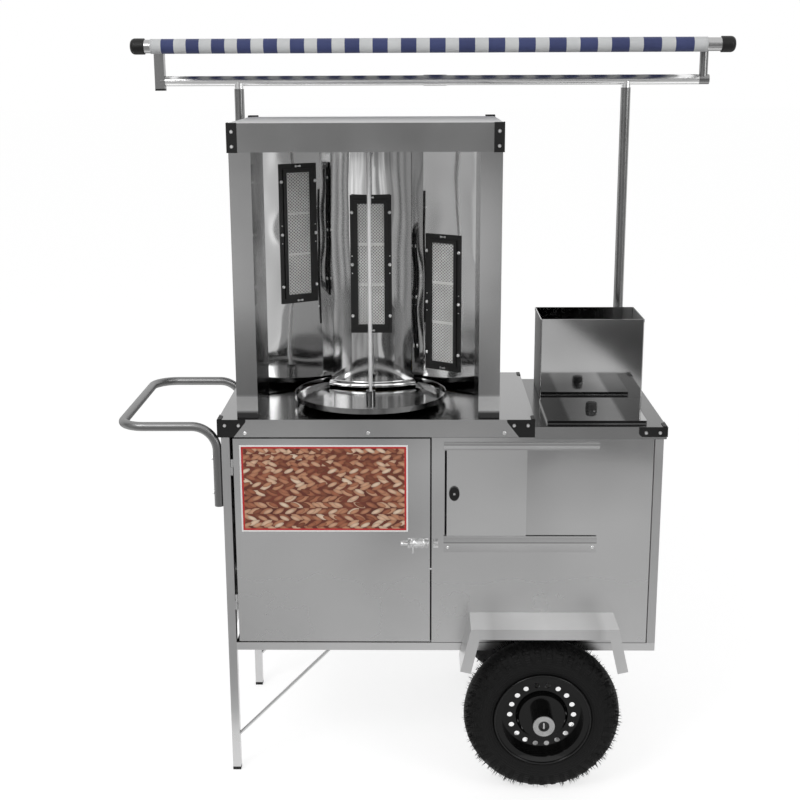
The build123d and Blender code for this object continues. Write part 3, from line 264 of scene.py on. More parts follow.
def canopy_material(turn_z, low_x, high_x):
    """Canopy tube: painted dark on the posts, risers and side bars and bright on the cross pipe,
    painted shade and painted reflection on one metal.
    """
    mat, tree, shader = material("canopy_tube")
    x, _, z = axes(tree)
    above = math(tree, "MULTIPLY", math(tree, "GREATER_THAN", z, turn_z),
                 between(tree, x, low_x, high_x))
    smears = noise(tree, 9.0, 4.0)
    worn = shade(tree, smears, 0.25, 0.92, 0.75, 1.05)
    # Painted shade on the lower tubes, painted reflection on the cross pipe
    tone = mix(tree, above, grey(0.28), grey(0.94))
    tree.links.new(mix(tree, 1.0, tone, worn, "MULTIPLY"), shader.inputs["Base Color"])
    shader.inputs["Metallic"].default_value = 1.0
    tree.links.new(shade(tree, smears, 0.3, 0.18, 0.75, 0.25), shader.inputs["Roughness"])
    bump(tree, shader, noise(tree, 900.0, 2.0, grain_z), 0.000004)
    return mat


def plastic(name, tone, rough, grain_scale, depth):
    """Moulded plastic or paint with a fine skin and a little dust."""
    mat, tree, shader = material(name)
    dust = noise(tree, 25.0, 4.0)
    tree.links.new(shade(tree, dust, 0.3, tone, 0.8, tone * 1.5), shader.inputs["Base Color"])
    tree.links.new(shade(tree, dust, 0.2, rough, 0.9, min(rough + 0.15, 1)),
                   shader.inputs["Roughness"])
    bump(tree, shader, noise(tree, grain_scale, 3.0), depth)
    return mat


black_plastic = plastic("black_plastic", 0.007, 0.42, 900.0, 0.00006)
set_socket(black_plastic, "Specular IOR Level", 0.32)
burner_paint = plastic("burner_paint", 0.008, 0.40, 700.0, 0.00003)
rubber_hair = plastic("rubber_hair", 0.0035, 0.65, 600.0, 0.00004)
set_socket(rubber_hair, "Specular IOR Level", 0.22)
mark_white = plastic("mark_white", 0.55, 0.45, 900.0, 0.00002)


def tyre_material(name, centre_y):
    """Black rubber with a chevron tread on the crown and fine rings on the walls."""
    mat, tree, shader = material(name)
    x, y, z = axes(tree)
    turn = math(tree, "ARCTAN2", math(tree, "SUBTRACT", z, axle_z),
                math(tree, "SUBTRACT", x, axle_x))
    away = math(tree, "ABSOLUTE", math(tree, "SUBTRACT", y, centre_y))
    block_count, slant, ring_rate = 60.0, 190.0, 1100.0
    chevron = math(tree, "SINE", math(tree, "ADD", math(tree, "MULTIPLY", turn, block_count),
                                      math(tree, "MULTIPLY", away, slant)))
    blocks = shade(tree, math(tree, "MULTIPLY_ADD", chevron, 0.5, 0.5), 0.18, 0.0, 0.32, 1.0)
    crown = shade(tree, math(tree, "MULTIPLY", away, 20.0), 0.52, 0.0, 0.60, 1.0)
    tread = math(tree, "MAXIMUM", blocks, crown)
    dust = noise(tree, 40.0, 4.0)
    tone = shade(tree, dust, 0.3, 0.0030, 0.8, 0.0055)
    # Painted shade: the grooves between the tread blocks are darker
    tree.links.new(mix(tree, tread, grey(0.0018), tone), shader.inputs["Base Color"])
    shader.inputs["Specular IOR Level"].default_value = 0.22
    tree.links.new(shade(tree, dust, 0.2, 0.55, 0.9, 0.70), shader.inputs["Roughness"])
    run = radial(tree, x, z, axle_x, axle_z)
    rings = math(tree, "MULTIPLY", math(tree, "SINE", math(tree, "MULTIPLY", run, ring_rate)), 0.12)
    skin = math(tree, "MULTIPLY", noise(tree, 500.0, 3.0), 0.2)
    bump(tree, shader, math(tree, "ADD", tread, math(tree, "ADD", rings, skin)), 0.003)
    return mat


def axle_material(low, high):
    """Bright washers round an axle end that is darker inside the washer bore."""
    mat, tree, shader = material("axle_steel")
    x, y, z = axes(tree)
    run = radial(tree, x, z, axle_x, axle_z)
    wear = noise(tree, 60.0, 4.0)
    bright = shade(tree, wear, 0.3, 0.52, 0.7, 0.66)
    dark_end = shade(tree, wear, 0.3, 0.035, 0.7, 0.09)
    end, washer_bore = 0.0045, 0.0134
    ring = math(tree, "GREATER_THAN", run, washer_bore)
    inner = between(tree, y, low[1] + end, high[1] - end)
    tone = mix(tree, math(tree, "MAXIMUM", ring, inner), dark_end, bright)
    tree.links.new(tone, shader.inputs["Base Color"])
    shader.inputs["Metallic"].default_value = 1.0
    tree.links.new(shade(tree, wear, 0.3, 0.22, 0.7, 0.36), shader.inputs["Roughness"])
    bump(tree, shader, noise(tree, 700.0, 2.0), 0.00002)
    return mat


def rim_material(name, centre_y, out):
    """Gloss black wheel paint, bright plating on the hidden side of the disc."""
    mat, tree, shader = material(name)
    y = axes(tree)[1]
    outward = math(tree, "MULTIPLY", math(tree, "SUBTRACT", y, centre_y), out)
    behind = math(tree, "LESS_THAN", outward, 0.011)
    dust = noise(tree, 25.0, 4.0)
    paint = shade(tree, dust, 0.3, 0.003, 0.8, 0.005)
    plating = shade(tree, dust, 0.3, 0.88, 0.8, 0.94)
    tree.links.new(mix(tree, behind, paint, plating), shader.inputs["Base Color"])
    tree.links.new(behind, shader.inputs["Metallic"])
    tree.links.new(shade(tree, dust, 0.2, 0.05, 0.9, 0.13), shader.inputs["Roughness"])
    shader.inputs["Specular IOR Level"].default_value = 0.36
    bump(tree, shader, noise(tree, 60.0, 2.0), 0.00012)
    return mat


def plug_material(low, high):
    """A dark lock plug with a bright worn middle."""
    mat, tree, shader = material("plug_metal")
    x, _, z = axes(tree)
    run = radial(tree, x, z, (low[0] + high[0]) / 2, (low[2] + high[2]) / 2)
    wear = noise(tree, 300.0, 4.0)
    bright = shade(tree, wear, 0.3, 0.60, 0.7, 0.78)
    dark = shade(tree, wear, 0.3, 0.03, 0.7, 0.06)
    ring = shade(tree, math(tree, "MULTIPLY", run, 100.0), 0.26, 0.0, 0.32, 1.0)
    tree.links.new(mix(tree, ring, bright, dark), shader.inputs["Base Color"])
    shader.inputs["Metallic"].default_value = 1.0
    tree.links.new(shade(tree, wear, 0.3, 0.28, 0.7, 0.42), shader.inputs["Roughness"])
    bump(tree, shader, noise(tree, 900.0, 2.0), 0.00002)
    return mat


def rail_material(foot, head):
    """Folded rail sheet with painted light by height: painted highlights on the edges, painted
    shade in the hollows of each fold and under the step.
    """
    mat, tree, shader = material("rail_steel")
    z = axes(tree)[2]
    place = math(tree, "DIVIDE", math(tree, "SUBTRACT", z, foot), head - foot)
    # Painted highlights and painted shade, by height on the rail
    fold_highlights_and_shade = ramp(tree, place, greys([
        (0.000, 0.68), (0.080, 0.78), (0.086, 0.34), (0.094, 0.34), (0.099, 0.66), (0.142, 0.62),
        (0.148, 0.80), (0.930, 0.80), (0.945, 0.70), (0.952, 0.94), (0.974, 0.94), (0.978, 0.50),
        (1.0, 0.80)]))
    wear = noise(tree, 9.0, 4.0, (0.4, 1, 1))
    worn = shade(tree, wear, 0.3, 0.86, 0.7, 1.0)
    tree.links.new(mix(tree, 1.0, fold_highlights_and_shade, worn, "MULTIPLY"), shader.inputs["Base Color"])
    shader.inputs["Metallic"].default_value = 1.0
    tree.links.new(shade(tree, wear, 0.3, 0.18, 0.7, 0.27), shader.inputs["Roughness"])
    bump(tree, shader, noise(tree, 900.0, 2.0, grain_x), 0.000010)
    return mat


def ceramic_material():
    """Pale burner plate with small round holes in a diamond grid, painted dark: painted shade
    inside the holes.
    """
    mat, tree, shader = material("ceramic")
    x, _, z = axes(tree)
    pitch, seam_z, seam_half = 0.0078, 0.051, 0.0030
    left_x, right_x = -0.245, -0.020
    waves = math(tree, "MULTIPLY", math(tree, "COSINE", math(tree, "MULTIPLY", x, 2 * pi / pitch)),
                 math(tree, "COSINE", math(tree, "MULTIPLY", z, 2 * pi / pitch)))
    dots = math(tree, "MULTIPLY_ADD", waves, 0.5, 0.5)
    grime = noise(tree, 30.0, 4.0)
    pale = ramp(tree, grime, [(0.3, (0.74, 0.74, 0.73)), (0.7, (0.90, 0.90, 0.89))])
    hole_shade = shade(tree, dots, 0.55, 0.0, 0.75, 1.0)
    left = math(tree, "LESS_THAN", x, left_x)
    right = math(tree, "GREATER_THAN", x, right_x)
    left_z, centre_z, right_z = burner_heights
    middle = math(tree, "MULTIPLY_ADD", right, right_z - centre_z, centre_z)
    middle = math(tree, "MULTIPLY_ADD", left, left_z - centre_z, middle)
    height = math(tree, "ABSOLUTE", math(tree, "SUBTRACT", z, middle))
    away = math(tree, "ABSOLUTE", math(tree, "SUBTRACT", height, seam_z))
    seam = ramp(tree, math(tree, "MULTIPLY", away, 100.0),
                greys([(0.06, 1.0), (0.10, 0.0), (0.24, 0.0), (0.30, 1.0)]))
    edge = math(tree, "LESS_THAN", away, seam_half)
    kept = math(tree, "SUBTRACT", 1.0, math(tree, "MULTIPLY", edge, 0.75))
    pierced = math(tree, "MULTIPLY", hole_shade, kept)
    # Painted shade: the holes are dark spots on the pale plate
    plain = mix(tree, pierced, pale, grey(0.16))
    tree.links.new(mix(tree, math(tree, "SUBTRACT", 1.0, seam), plain, (0.95, 0.95, 0.94)),
                   shader.inputs["Base Color"])
    shader.inputs["Roughness"].default_value = 0.85
    bump(tree, shader, math(tree, "SUBTRACT", 1.0, hole_shade), 0.0012)
    return mat


def canvas_material():
    """Navy and white striped canvas with a plain weave; the stripes widen along the canopy."""
    mat, tree, shader = material("canvas")
    x, y, _ = axes(tree)
    # The middle of navy stripe k lies at start + step * k + growth * k * k
    step, growth, start = 0.05983724, 0.0004930589, -0.6171594
    middle_stripe, stripe_reach, stripe_half, stripe_growth = 9.0, 9.45, 0.256, 0.0016
    run = math(tree, "MULTIPLY", math(tree, "SUBTRACT", x, start), 4 * growth)
    root = math(tree, "SQRT", math(tree, "MAXIMUM", math(tree, "ADD", run, step * step), 0.0))
    count = math(tree, "DIVIDE", math(tree, "SUBTRACT", root, step), 2 * growth)
    phase = math(tree, "ABSOLUTE", math(tree, "SUBTRACT", count, math(tree, "ROUND", count)))
    from_middle = math(tree, "ABSOLUTE", math(tree, "SUBTRACT", count, middle_stripe))
    inside = math(tree, "LESS_THAN", from_middle, stripe_reach)
    half = math(tree, "MULTIPLY_ADD", count, stripe_growth, stripe_half)
    navy_here = math(tree, "MULTIPLY", math(tree, "LESS_THAN", phase, half), inside)
    fade = noise(tree, 14.0, 4.0)
    white = ramp(tree, fade, [(0.3, (0.51, 0.52, 0.53)), (0.7, (0.58, 0.59, 0.59))])
    navy = ramp(tree, fade, [(0.3, (0.020, 0.030, 0.115)), (0.7, (0.030, 0.044, 0.150))])
    tree.links.new(mix(tree, navy_here, white, navy), shader.inputs["Base Color"])
    shader.inputs["Roughness"].default_value = 0.72
    shader.inputs["Sheen Weight"].default_value = 0.15
    thread = 2 * pi / 0.0016
    weave = math(tree, "MULTIPLY", math(tree, "SINE", math(tree, "MULTIPLY", x, thread)),
                 math(tree, "SINE", math(tree, "MULTIPLY", y, thread)))
    bump(tree, shader, weave, 0.0002, 0.5)
    return mat


canvas_cloth = canvas_material()


def sign_material(low, high):
    """A printed panel: white edge, thin red line and rows of slanted petals in warm tones."""
    mat, tree, shader = material("sign_print")
    x, _, z = axes(tree)
    edges = [math(tree, "SUBTRACT", x, low[0]), math(tree, "SUBTRACT", high[0], x),
             math(tree, "SUBTRACT", z, low[2]), math(tree, "SUBTRACT", high[2], z)]
    inset = math(tree, "MINIMUM", math(tree, "MINIMUM", edges[0], edges[1]),
                 math(tree, "MINIMUM", edges[2], edges[3]))

    def petals(width, height, long, short, slant, seed):
        """One layer of petals: how far inside a petal a point lies, and the petal's random tone."""
        rows = math(tree, "ADD", math(tree, "DIVIDE", edges[2], height), seed)
        row = math(tree, "FLOOR", rows)
        odd = math(tree, "MODULO", row, 2.0)
        columns = math(tree, "MULTIPLY_ADD", odd, 0.5, math(tree, "DIVIDE", edges[0], width))
        column = math(tree, "FLOOR", columns)
        across, up = [math(tree, "MULTIPLY", size,
                           math(tree, "SUBTRACT", math(tree, "FRACT", cells), 0.5))
                      for cells, size in ((columns, width), (rows, height))]
        turn = math(tree, "MULTIPLY", math(tree, "MULTIPLY_ADD", odd, 2.0, -1.0), radians(slant))
        co, si = math(tree, "COSINE", turn), math(tree, "SINE", turn)
        along = math(tree, "ADD", math(tree, "MULTIPLY", across, co),
                     math(tree, "MULTIPLY", up, si))
        aside = math(tree, "SUBTRACT", math(tree, "MULTIPLY", up, co),
                     math(tree, "MULTIPLY", across, si))
        far = math(tree, "ADD", math(tree, "POWER", math(tree, "DIVIDE", along, long), 2.0),
                   math(tree, "POWER", math(tree, "DIVIDE", aside, short), 2.0))
        cell = add_node(tree, "CombineXYZ", {0: column, 1: row, 2: seed}).outputs[0]
        dots = add_node(tree, "TexWhiteNoise", {"Vector": cell}, noise_dimensions="3D")
        return far, dots.outputs[0]

    warm = [(0.0, (0.20, 0.055, 0.026)), (0.3, (0.38, 0.13, 0.065)), (0.6, (0.56, 0.27, 0.15)),
            (0.85, (0.70, 0.44, 0.29)), (1.0, (0.80, 0.62, 0.46))]
    ground = ramp(tree, noise(tree, 22.0, 4.0),
                  [(0.3, (0.10, 0.020, 0.012)), (0.7, (0.20, 0.045, 0.024))])
    # Each layer: width and height of a cell, half length and half width of a petal, slant, seed
    for layer in ((0.030, 0.0150, 0.0165, 0.0058, 28, 4.0),
                  (0.026, 0.0170, 0.0125, 0.0048, -24, 9.5)):
        far, tone = petals(*layer)
        mask = shade(tree, far, 0.86, 1.0, 1.0, 0.0)
        lit = shade(tree, far, 0.0, 1.0, 1.0, 0.55)
        ground = mix(tree, mask, ground, mix(tree, 1.0, ramp(tree, tone, warm), lit, "MULTIPLY"))
    place = math(tree, "MULTIPLY", inset, 40.0)
    line = shade(tree, place, 0.149, 0.0, 0.15, 1.0)
    field = shade(tree, place, 0.33, 0.0, 0.331, 1.0)
    framed = mix(tree, line, (0.84, 0.83, 0.82), (0.50, 0.020, 0.020))
    tree.links.new(mix(tree, field, framed, ground), shader.inputs["Base Color"])
    shader.inputs["Roughness"].default_value = 0.30
    bump(tree, shader, noise(tree, 900.0, 2.0), 0.00002)
    return mat


rail_low, rail_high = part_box("slide_rails")
tube_reach = 0.0262  # how far the canopy's risers reach in from its ends
looks = {
    panel_steel: "door front_panel rear_panel floor_panel",
    slider_steel: "slide_door",
    rail_material(rail_low[2], rail_high[2]): "slide_rails",
    # The faced_steel tones below are painted reflection and shade on each face
    faced_steel("fender_steel", 0.71, 0.68, 0.56, 0.30, 0.50, 0.1, 0.0006,
                ends=(0.10, 0.47)): "fenders",
    side_steel: "end_panels",
    tube_steel: "leg_front_left leg_rear_left right_posts top_frame leg_braces hinge_leaves",
    steel("frame_steel", 0.76, 0.27, 0.10, grain_x, 0.000010, 0.0003): "bottom_frame",
    faced_steel("base_steel", 0.62, 0.52, 0.20, 0.16, 0.14, 1.0, 0.0010): "cooker_base",
    faced_steel("counter_steel", 0.46, 0.44, 0.050, 0.16, 0.14, 1.0, 0.0008): "counter_top",
    mirror_steel: "reflector_left reflector_right reflector_centre well_pan spit_bearing",
    faced_steel("bin_steel", 0.74, 0.34, 0.50, 0.04, 0.20, 1.0, 0.0010, 0.60): "bin",
    lid_material(*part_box("well_lid")): "well_lid",
    pan_steel: "drip_pan",
    faced_steel("hood_steel", 0.58, 0.50, 0.70, 0.12, 0.60, 0.2, 0.0012): "cooker_back cooker_hood",
    # Painted reflection tones by height up the pillar fronts, with a dark painted strip near the
    # foot
    faced_steel("pillar_steel", 0.62, 0.50, 0.30, 0.12, 0.20, 1.0, 0.0012, reflection_bands=[
        (0.034, 0.10), (0.037, 0.95), (0.072, 0.90), (0.075, 0.42), (0.16, 0.50),
        (0.30, 0.66)]): "pillar_left pillar_right",
    canopy_material(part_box("pipe_sleeve")[0][2] - 0.006,
                    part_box("canopy_frame_left")[0][0] + tube_reach,
                    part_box("canopy_frame_right")[1][0] - tube_reach):
        "canopy_frame_left canopy_frame_right pipe_sleeve",
    handle_steel: "handle_bar",
    chrome_tube: "hem_tubes post_clamps top_bush",
    satin_rod: "spit_rod",
    zinc: "handle_bolts case_screws",
    bolt_chrome: "bolt_keeper bolt_plate bolt_rod",
    plug_material(*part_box("lock_plug")): "lock_plug",
    black_plastic: "corner_brackets corner_elbows tube_plugs knob_left knob_centre knob_right "
                   "lock_body",
    burner_paint: "burner_bodies",
    ceramic_material(): "burner_plates",
    brass: "gas_manifold",
    tyre_material("tyre_front_rubber", wheel_y[0]): "tyre_front",
    tyre_material("tyre_rear_rubber", wheel_y[1]): "tyre_rear",
    rim_material("rim_front_paint", wheel_y[0], -1): "rim_front",
    rim_material("rim_rear_paint", wheel_y[1], 1): "rim_rear",
    axle_material(*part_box("axle")): "axle",
    sign_material(*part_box("door_sign")): "door_sign",
}
for mat, names in looks.items():
    for name in names.split():
        data = nodes[name].data
        data.materials.clear()
        data.materials.append(mat)


def piece(name, bm, mat, body, smooth=True):
    """A mesh object from a bmesh that rides on a body."""
    bmesh.ops.recalc_face_normals(bm, faces=bm.faces)
    mesh = bpy.data.meshes.new(name)
    bm.to_mesh(mesh)
    bm.free()
    if smooth:
        mesh.shade_smooth()
    obj = bpy.data.objects.new(name, mesh)
    bpy.context.collection.objects.link(obj)
    mesh.materials.append(mat)
    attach(obj, body)
    return obj


# Canvas: one sheet that wraps the front hem tube, runs over the top and wraps the rear one
canopy_middle, canopy_half, canopy_fall = (0.008, 0.183, 1.783), 0.2635, 0.0096
hem_radius, canvas_half, canvas_sag, canvas_pucker = 0.0169, 0.667, 0.004, 0.0018
wrap_start, wrap_angle, canvas_thick = -20, 250, 0.0010
canopy_frame = (Matrix.Translation(canopy_middle)
                @ Matrix.Rotation(asin(canopy_fall / (2 * canopy_half)), 4, "X"))


def canvas_path():
    """Points of the sheet across the canopy: (y, z) on the canopy's own plane."""
    points = []
    wrap, across = 40, 60
    for index in range(wrap + 1):
        turn = radians(wrap_start - wrap_angle * index / wrap)
        points.append((-canopy_half + hem_radius * cos(turn), hem_radius * sin(turn)))
    for index in range(1, across):
        share = index / across
        points.append((-canopy_half + 2 * canopy_half * share,
                       hem_radius - canvas_sag * sin(pi * share) ** 2))
    for index in range(wrap + 1):
        turn = radians(90 - wrap_angle * index / wrap)
        points.append((canopy_half + hem_radius * cos(turn), hem_radius * sin(turn)))
    return points


path = canvas_path()
steps = 160
bm = bmesh.new()
rows = []
for column in range(steps + 1):
    x = -canvas_half + 2 * canvas_half * column / steps
    pucker = canvas_pucker * sin(x * 57.0) * sin(x * 23.0 + 1.1)
    rows.append([bm.verts.new(canopy_frame @ Vector((
        x, y, z + pucker * max(0.0, 1 - (y / canopy_half) ** 2)))) for y, z in path])
for left, right in zip(rows, rows[1:]):
    for a, b, c, d in zip(left, left[1:], right[1:], right):
        bm.faces.new((a, b, c, d))
canvas = piece("canvas_sheet", bm, canvas_cloth, "cart")
thick = canvas.modifiers.new("thickness", "SOLIDIFY")
thick.thickness = canvas_thick
thick.offset = 0.0
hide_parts("canvas")


# Screws, rivets and other small hardware

head_profile = [(1.0, 0.0), (1.0, 0.30), (0.90, 0.66), (0.66, 0.92), (0.36, 1.0), (0.30, 0.62),
                (0.0, 0.55)]
rivet_profile = [(1.0, 0.0), (0.97, 0.35), (0.80, 0.72), (0.45, 0.95), (0.0, 1.0)]
knob_profile = [(1.0, 0.0), (0.99, 0.30), (0.95, 0.62), (0.90, 0.84), (0.84, 0.94), (0.74, 0.99),
                (0.0, 1.0)]
ahead, behind, above = (0, -1, 0), (0, 1, 0), (0, 0, 1)


def heads(bm, places, normal, radius, height, profile, sides=14):
    """Turned heads at some places on a surface."""
    turn = Vector(normal).to_track_quat("Z", "Y").to_matrix()
    for place in places:
        rings = []
        for share, rise in profile:
            count = sides if share else 1
            reach = radius * share
            rings.append([bm.verts.new(Vector(place) + turn @ Vector((
                reach * cos(2 * pi * k / count), reach * sin(2 * pi * k / count), height * rise)))
                for k in range(count)])
        for low, high in zip(rings, rings[1:]):
            for k in range(sides):
                following = (k + 1) % sides
                corners = [low[k], low[following], high[following % len(high)], high[k % len(high)]]
                bm.faces.new(list(dict.fromkeys(corners)))


def prism(bm, foot, top, closed=True):
    """A prism between two rings of points; an open one has no foot."""
    low, high = [[bm.verts.new(point) for point in ring] for ring in (foot, top)]
    if closed:
        bm.faces.new(low)
    bm.faces.new(high)
    for k in range(len(low)):
        bm.faces.new((low[k - 1], low[k], high[k], high[k - 1]))


# Burners: where each stands, its way across and the way that it faces
burners = [((-0.3175, -0.033), (0.8337, 0.5523, 0), (0.5523, -0.8337, 0)),
           ((-0.135, -0.042), (1, 0, 0), ahead),
           ((0.0475, -0.033), (0.8337, -0.5523, 0), (-0.5523, -0.8337, 0))]
flange, screw_x, screw_z, rivet_z = 0.003, 0.0472, 0.131, 0.022
clip_z, clip_half, clip_round, clip_high = 0.1683, 0.006, 0.0030, 0.0012
screws = bmesh.new()
clips = bmesh.new()
for (place, across, normal), height in zip(burners, burner_heights):
    across, normal = Vector(across), Vector(normal)
    face = Vector((*place, height)) + normal * flange
    heads(screws, [face + across * side * screw_x + Vector((0, 0, up)) for side in (-1, 1)
                   for up in (-screw_z, 0, screw_z)], normal, 0.0046, 0.0030, head_profile)
    heads(screws, [face + across * side * screw_x + Vector((0, 0, up)) for side in (-1, 1)
                   for up in (-rivet_z, rivet_z)], normal, 0.0017, 0.0012, rivet_profile, 10)
    for up in (-clip_z, clip_z):
        centre = face + Vector((0, 0, up))
        outline = []
        for side in (-1, 1):
            for index in range(7):
                turn = side * (pi / 2 - pi * index / 6) + (0 if side > 0 else pi)
                outline.append((side * clip_half + clip_round * cos(turn), clip_round * sin(turn)))
        prism(clips, [centre + across * a + Vector((0, 0, b)) for a, b in outline],
              [centre + across * a * 0.94 + Vector((0, 0, b * 0.8)) + normal * clip_high
               for a, b in outline], closed=False)
piece("burner_screws", screws, zinc, "cart")
piece("burner_clips", clips, zinc, "cart", smooth=False)

low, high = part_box("slide_rails")
rail_screws = bmesh.new()
edge, rise = 0.010, 0.013
heads(rail_screws, [(x, panel_y, low[2] + rise) for x in (low[0] + edge, high[0] - edge)], ahead,
      0.0038, 0.0024, head_profile)
piece("rail_screws", rail_screws, zinc, "cart")

low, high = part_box("cooker_base")
skirt_screw = bmesh.new()
screw_place = (-0.428, low[1], low[2] + 0.010)
heads(skirt_screw, [screw_place], ahead, 0.0045, 0.0025, head_profile)
piece("skirt_screw", skirt_screw, zinc, "cart")

tabs = bmesh.new()
tab_wide, tab_long, tab_thick, tab_cut = 0.009, 0.036, 0.0016, 0.005
tab_outline = [(0, 0), (tab_wide, 0), (tab_wide, tab_long - tab_cut),
               (tab_wide - tab_cut, tab_long), (0, tab_long)]
counter_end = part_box("counter_top")[1]
for corner_x, way, deck in ((low[0], 1, high[2]), (high[0], -1, high[2]),
                            (counter_end[0], -1, counter_end[2])):
    for corner_y, back in ((low[1], 1), (high[1], -1)):
        prism(tabs, *[[(corner_x + way * a, corner_y + back * b, deck + up) for a, b in tab_outline]
                      for up in (0, tab_thick)])
piece("bracket_tabs", tabs, black_plastic, "cart", smooth=False)

low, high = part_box("well_lid")
knob_foot = Vector(((low[0] + high[0]) / 2, (low[1] + high[1]) / 2, high[2]))
plate_round, plate_half, plate_thick = 0.0160, 0.009, 0.0006
plate = bmesh.new()
outline = []
for side in (1, -1):
    for index in range(12):
        turn = pi * index / 11 + (0 if side > 0 else pi)
        outline.append((plate_round * cos(turn), side * plate_half + plate_round * sin(turn)))
prism(plate, *[[knob_foot + Vector((a, b, up)) for a, b in outline] for up in (0, plate_thick)])
lid_steel = nodes["well_lid"].data.materials[0]
piece("lid_knob_plate", plate, lid_steel, "lid", smooth=False)
lid_knob = bmesh.new()
heads(lid_knob, [knob_foot + Vector((0, 0, plate_thick))], above, 0.0148, 0.0165, knob_profile, 32)
piece("lid_knob", lid_knob, black_plastic, "lid")

low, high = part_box("bolt_plate")
rivets = bmesh.new()
middle = (low[2] + high[2]) / 2
heads(rivets, [(x, panel_y, middle + up) for x in (low[0] + 0.0095, high[0] - 0.0115)
               for up in (-0.0076, 0.0076)], ahead, 0.0018, 0.0012, rivet_profile)
piece("bolt_rivets", rivets, zinc, "door")

low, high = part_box("rear_panel")
rivets = bmesh.new()
count_x, count_z, edge = 10, 5, 0.010
places = [(low[0] + edge + (high[0] - low[0] - 2 * edge) * k / count_x, high[1], z)
          for k in range(count_x + 1) for z in (low[2] + edge, high[2] - edge)]
places += [(x, high[1], low[2] + edge + (high[2] - low[2] - 2 * edge) * k / count_z)
           for k in range(1, count_z) for x in (low[0] + edge, high[0] - edge)]
clamps, clamp_half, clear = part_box("post_clamps"), 0.018, 0.024
posts = (clamps[0][0] + clamp_half, clamps[1][0] - clamp_half)
places = [place for place in places if all(abs(place[0] - x) > clear for x in posts)]
heads(rivets, places, behind, 0.0042, 0.0014, rivet_profile)
piece("rear_rivets", rivets, zinc, "cart")

mark_outline = [(0.006, -0.0009), (0.0155, -0.0009), (0.0160, 0.0), (0.0155, 0.0009),
                (0.006, 0.0009)]
mark_foot, mark_top = -0.0008, -0.00002
for side in ("left", "centre", "right"):
    low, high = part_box(f"knob_{side}")
    bm = bmesh.new()
    centre = Vector(((low[0] + high[0]) / 2, high[1], (low[2] + high[2]) / 2))
    prism(bm, *[[centre + Vector((a, level, b)) for a, b in mark_outline]
                for level in (mark_foot, mark_top)])
    piece(f"knob_{side}_mark", bm, mark_white, f"knob_{side}", smooth=False)


# Tyre shoulder lugs, rubber hairs and the split pins

def tyre_profile(share):
    """Radius, half width and outward way on a tyre, from its wall (0) to its crown (1)."""
    shoulder, wall_round, crown_round = 0.45, 0.060, 0.05344
    wall_radius, wall_aside, crown_radius = 0.145, -0.0136, 0.13656  # centres of the two arcs
    if share < shoulder:
        turn = radians(-14 + (26.7 + 14) * share / shoulder)
        way = (sin(turn), cos(turn))
        return wall_radius + wall_round * way[0], wall_aside + wall_round * way[1], way
    turn = radians(48.5 - 24 * (share - shoulder) / (1 - shoulder))
    way = (cos(turn), sin(turn))
    return crown_radius + crown_round * way[0], crown_round * way[1], way


def wheel_point(centre_y, turn, radius, aside):
    return Vector((axle_x + radius * cos(turn), centre_y + aside, axle_z + radius * sin(turn)))


lug_count, lug_points, lug_half, lug_lean = 40, 9, 0.042, 0.020
lug_lift, lug_end_lift, lug_foot = 0.0016, 0.0004, -0.0006
lug_start, lug_run, lug_flank, lug_narrow = 0.22, 0.70, 0.78, 0.86
hair_count, hair_short, hair_long, hair_radius = 1500, 0.008, 0.016, 0.0011
hair_floor, hair_tip_floor, hair_outer, hair_inner = 0.016, 0.006, 0.056, 0.049
hair_lie, hair_root = 0.6, 0.05
for end, centre_y in zip(("front", "rear"), wheel_y):
    body = f"wheel_{end}"
    lugs = bmesh.new()
    hairs = bmesh.new()
    dice = Random(11)
    for side in (-1, 1):
        for k in range(lug_count):
            middle = 2 * pi * (k + (0.5 if side > 0 else 0.0)) / lug_count
            rows = []
            for index in range(lug_points):
                share = lug_start + lug_run * index / (lug_points - 1)
                radius, aside, (up, out) = tyre_profile(share)
                lift = lug_lift if 0 < index < lug_points - 1 else lug_end_lift
                half = lug_half * (1.0 if index < 5 else lug_narrow)
                flank = half * lug_flank
                spot = middle + lug_lean * (index / (lug_points - 1))
                section = ((-half, lug_foot), (-flank, lift), (flank, lift), (half, lug_foot))
                rows.append([lugs.verts.new(wheel_point(
                    centre_y, spot + turn, radius + up * rise, side * (aside + out * rise)))
                    for turn, rise in section])
            for one, two in zip(rows, rows[1:]):
                for a, b, c, d in zip(one, one[1:], two[1:], two):
                    lugs.faces.new((a, b, c, d))
            lugs.faces.new(rows[0])
            lugs.faces.new(rows[-1])
    for _ in range(hair_count):
        side = dice.choice((-1, 1))
        turn = dice.uniform(0, 2 * pi)
        radius, aside, (up, out) = tyre_profile(dice.uniform(0.30, 1.0))
        long = dice.uniform(hair_short, hair_long)
        foot = wheel_point(centre_y, turn, radius, side * aside)
        way = Vector((up * cos(turn), side * out * hair_lie, up * sin(turn)))
        way += Vector([dice.uniform(-bend, bend) for bend in (0.25, 0.3, 0.25)])
        way = way.normalized() * long
        reach = foot.y + way.y - centre_y
        limit = hair_outer if reach * centre_y > 0 else hair_inner
        if foot.z < hair_floor or (foot + way).z < hair_tip_floor or abs(reach) > limit:
            continue
        aside_way = way.orthogonal().normalized()
        other = way.cross(aside_way).normalized()
        root = foot - way * hair_root
        ring = [hairs.verts.new(root + hair_radius * (aside_way * cos(a) + other * sin(a)))
                for a in (0, 2 * pi / 3, 4 * pi / 3)]
        tip = hairs.verts.new(foot + way)
        hairs.faces.new(ring)
        for a, b in zip(ring, ring[1:] + ring[:1]):
            hairs.faces.new((a, b, tip))
    piece(f"tyre_lugs_{end}", lugs, rubber_hair, body, smooth=False)
    piece(f"tyre_hairs_{end}", hairs, rubber_hair, body, smooth=False)


